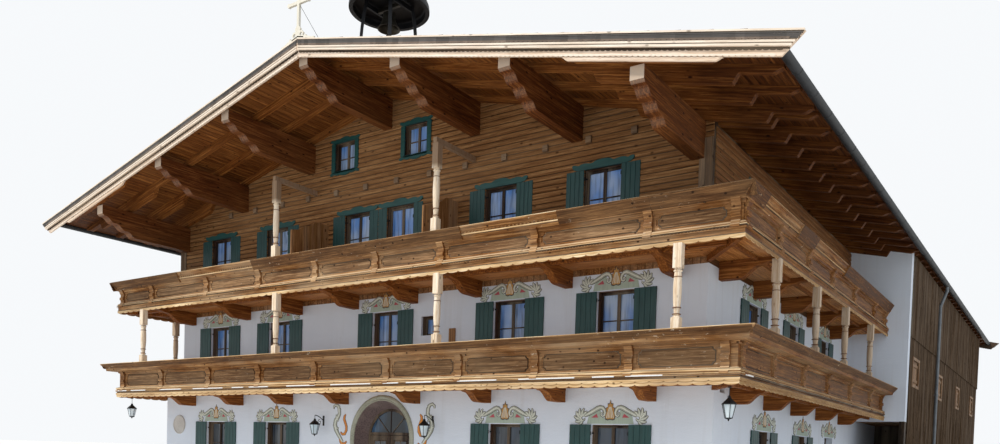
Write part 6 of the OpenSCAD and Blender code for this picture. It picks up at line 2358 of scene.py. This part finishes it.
@dataclass(frozen=True)
class Studio:
    """The floor, the light and the camera."""

    place: Point = (15.488, -33.105, 1.576)
    yaw: float = 34.687
    pitch: float = -2.003
    roll: float = 1.790
    focal: float = 832.25
    principal_row: float = 481.19
    picture: tuple[int, int] = (1000, 444)

    def build(self) -> None:
        """Makes everything round the chalet."""
        self.floor()
        self.light()
        self.camera()

    @staticmethod
    def floor() -> None:
        """Lays a pale floor that the camera sees as plain near white."""
        mesh, reach = bpy.data.meshes.new("studio_floor"), 400.0
        corners = ((-reach, -reach, 0.0), (reach, -reach, 0.0), (reach, reach, 0.0), (-reach, reach, 0.0))
        mesh.from_pydata(corners, [], [(0, 1, 2, 3)])
        floor = link_object("studio_floor", mesh)
        mesh.materials.append(Surface("studio_floor", 0.9).finish((0.78, 0.78, 0.77, 1.0)))

    @staticmethod
    def light() -> None:
        """Sets a soft sun from the front left and a plain bright sky."""
        sun = bpy.data.lights.new("soft_sun", "SUN")
        sun.energy = 2.6
        sun.angle = math.radians(6.0)
        sun.color = (1.0, 0.95, 0.87)
        lamp = link_object("soft_sun", sun)
        lamp.rotation_euler = Vector((0.42, 0.62, -0.95)).to_track_quat("-Z", "Y").to_euler()
        world = bpy.data.worlds.new("studio")
        bpy.context.scene.world = world
        world.use_nodes = True
        tree = world.node_tree
        tree.nodes.clear()
        output = tree.nodes.new("ShaderNodeOutputWorld")
        soft, seen = (tree.nodes.new("ShaderNodeBackground") for _ in range(2))
        for shader, color, strength in ((soft, (0.9, 0.95, 1.0, 1.0), 0.72), (seen, (0.93, 0.95, 0.97, 1.0), 1.0)):
            shader.inputs["Color"].default_value = color
            shader.inputs["Strength"].default_value = strength
        rays, mix = tree.nodes.new("ShaderNodeLightPath"), tree.nodes.new("ShaderNodeMixShader")
        either, most = (tree.nodes.new("ShaderNodeMath") for _ in range(2))
        either.operation = most.operation = "MAXIMUM"
        for outlet, inlet in (
            (rays.outputs["Is Camera Ray"], either.inputs[0]),
            (rays.outputs["Is Glossy Ray"], either.inputs[1]),
            (either.outputs[0], most.inputs[0]),
            (rays.outputs["Is Transmission Ray"], most.inputs[1]),
            (most.outputs[0], mix.inputs[0]),
            (soft.outputs[0], mix.inputs[1]),
            (seen.outputs[0], mix.inputs[2]),
            (mix.outputs[0], output.inputs["Surface"]),
        ):
            tree.links.new(outlet, inlet)
        bpy.context.scene.view_settings.view_transform = "Standard"

    def camera(self) -> None:
        """Places the camera as it stood for the photograph."""
        yaw, pitch, roll = (math.radians(a) for a in (self.yaw, self.pitch, self.roll))
        forward = Vector((-math.sin(yaw) * math.cos(pitch), math.cos(yaw) * math.cos(pitch), math.sin(pitch)))
        level = Vector((math.cos(yaw), math.sin(yaw), 0.0))
        upward = level.cross(forward)
        right = level * math.cos(roll) + upward * math.sin(roll)
        top = -level * math.sin(roll) + upward * math.cos(roll)
        width, height = self.picture
        data = bpy.data.cameras.new("photo_camera")
        data.sensor_fit = "HORIZONTAL"
        data.sensor_width = 36.0
        data.lens = self.focal * data.sensor_width / width
        data.shift_y = (self.principal_row - height / 2) / width
        data.clip_end = 500.0
        camera = link_object("photo_camera", data)
        turn = Matrix((right, top, -forward)).transposed()
        camera.matrix_world = Matrix.Translation(Vector(self.place)) @ turn.to_4x4()
        bpy.context.scene.camera = camera


def main() -> None:
    """Builds the scene round the frame."""
    logging.basicConfig(level=logging.INFO, format="%(name)s: %(message)s")
    Studio().build()
    palette = Palette()
    dress_frame(palette)
    openings = all_openings()
    repeat = RepeatTree()
    reach = Size.HALF + Size.SIDE_OUT - 0.29
    lower_front = (-reach, -7.9, -5.55, -3.33, -1.08, 1.47, 3.7, 5.77, 8.0, reach)
    upper_front = (-reach - 0.1, -8.45, -5.72, -3.39, -1.13, 1.01, 3.08, 5.66, 8.32, reach + 0.1)
    side_bays = (0.7, 2.99, 5.25, 7.73, 10.4)
    builders = [
        Windows(palette, openings),
        Shutters(palette, openings),
        CarvedBoards(palette, openings),
        PaintedOrnament(palette, openings),
        LogStorey(palette, openings),
        BarnBoards(palette),
        BalconyTrim(
            palette, repeat, "lower", Size.LOWER_BALCONY, 1.01, 0.37, lower_front, (-1.28, *side_bays, 12.13), True,
            ((-10.6, 10.6),), ((-1.9, 12.4),),
        ),
        BalconyTrim(
            palette, repeat, "upper", Size.UPPER_BALCONY, 0.95, 0.18, upper_front, (-1.38, *side_bays, 12.13), False,
            ((-10.5, -6.92), (-3.51, 3.75), (6.31, 10.5)), ((-1.75, -0.7), (1.68, 2.98), (6.0, 12.27)),
        ),
        Undersides(palette),
        Bands(palette, repeat),
        RoofCovering(palette, repeat),
        Entrance(palette),
        Lanterns(palette),
        SmallParts(palette),
    ]
    for builder in builders:
        log.info("building %s", type(builder).__name__)
        builder.build()


if __name__ == "__main__":
    main()
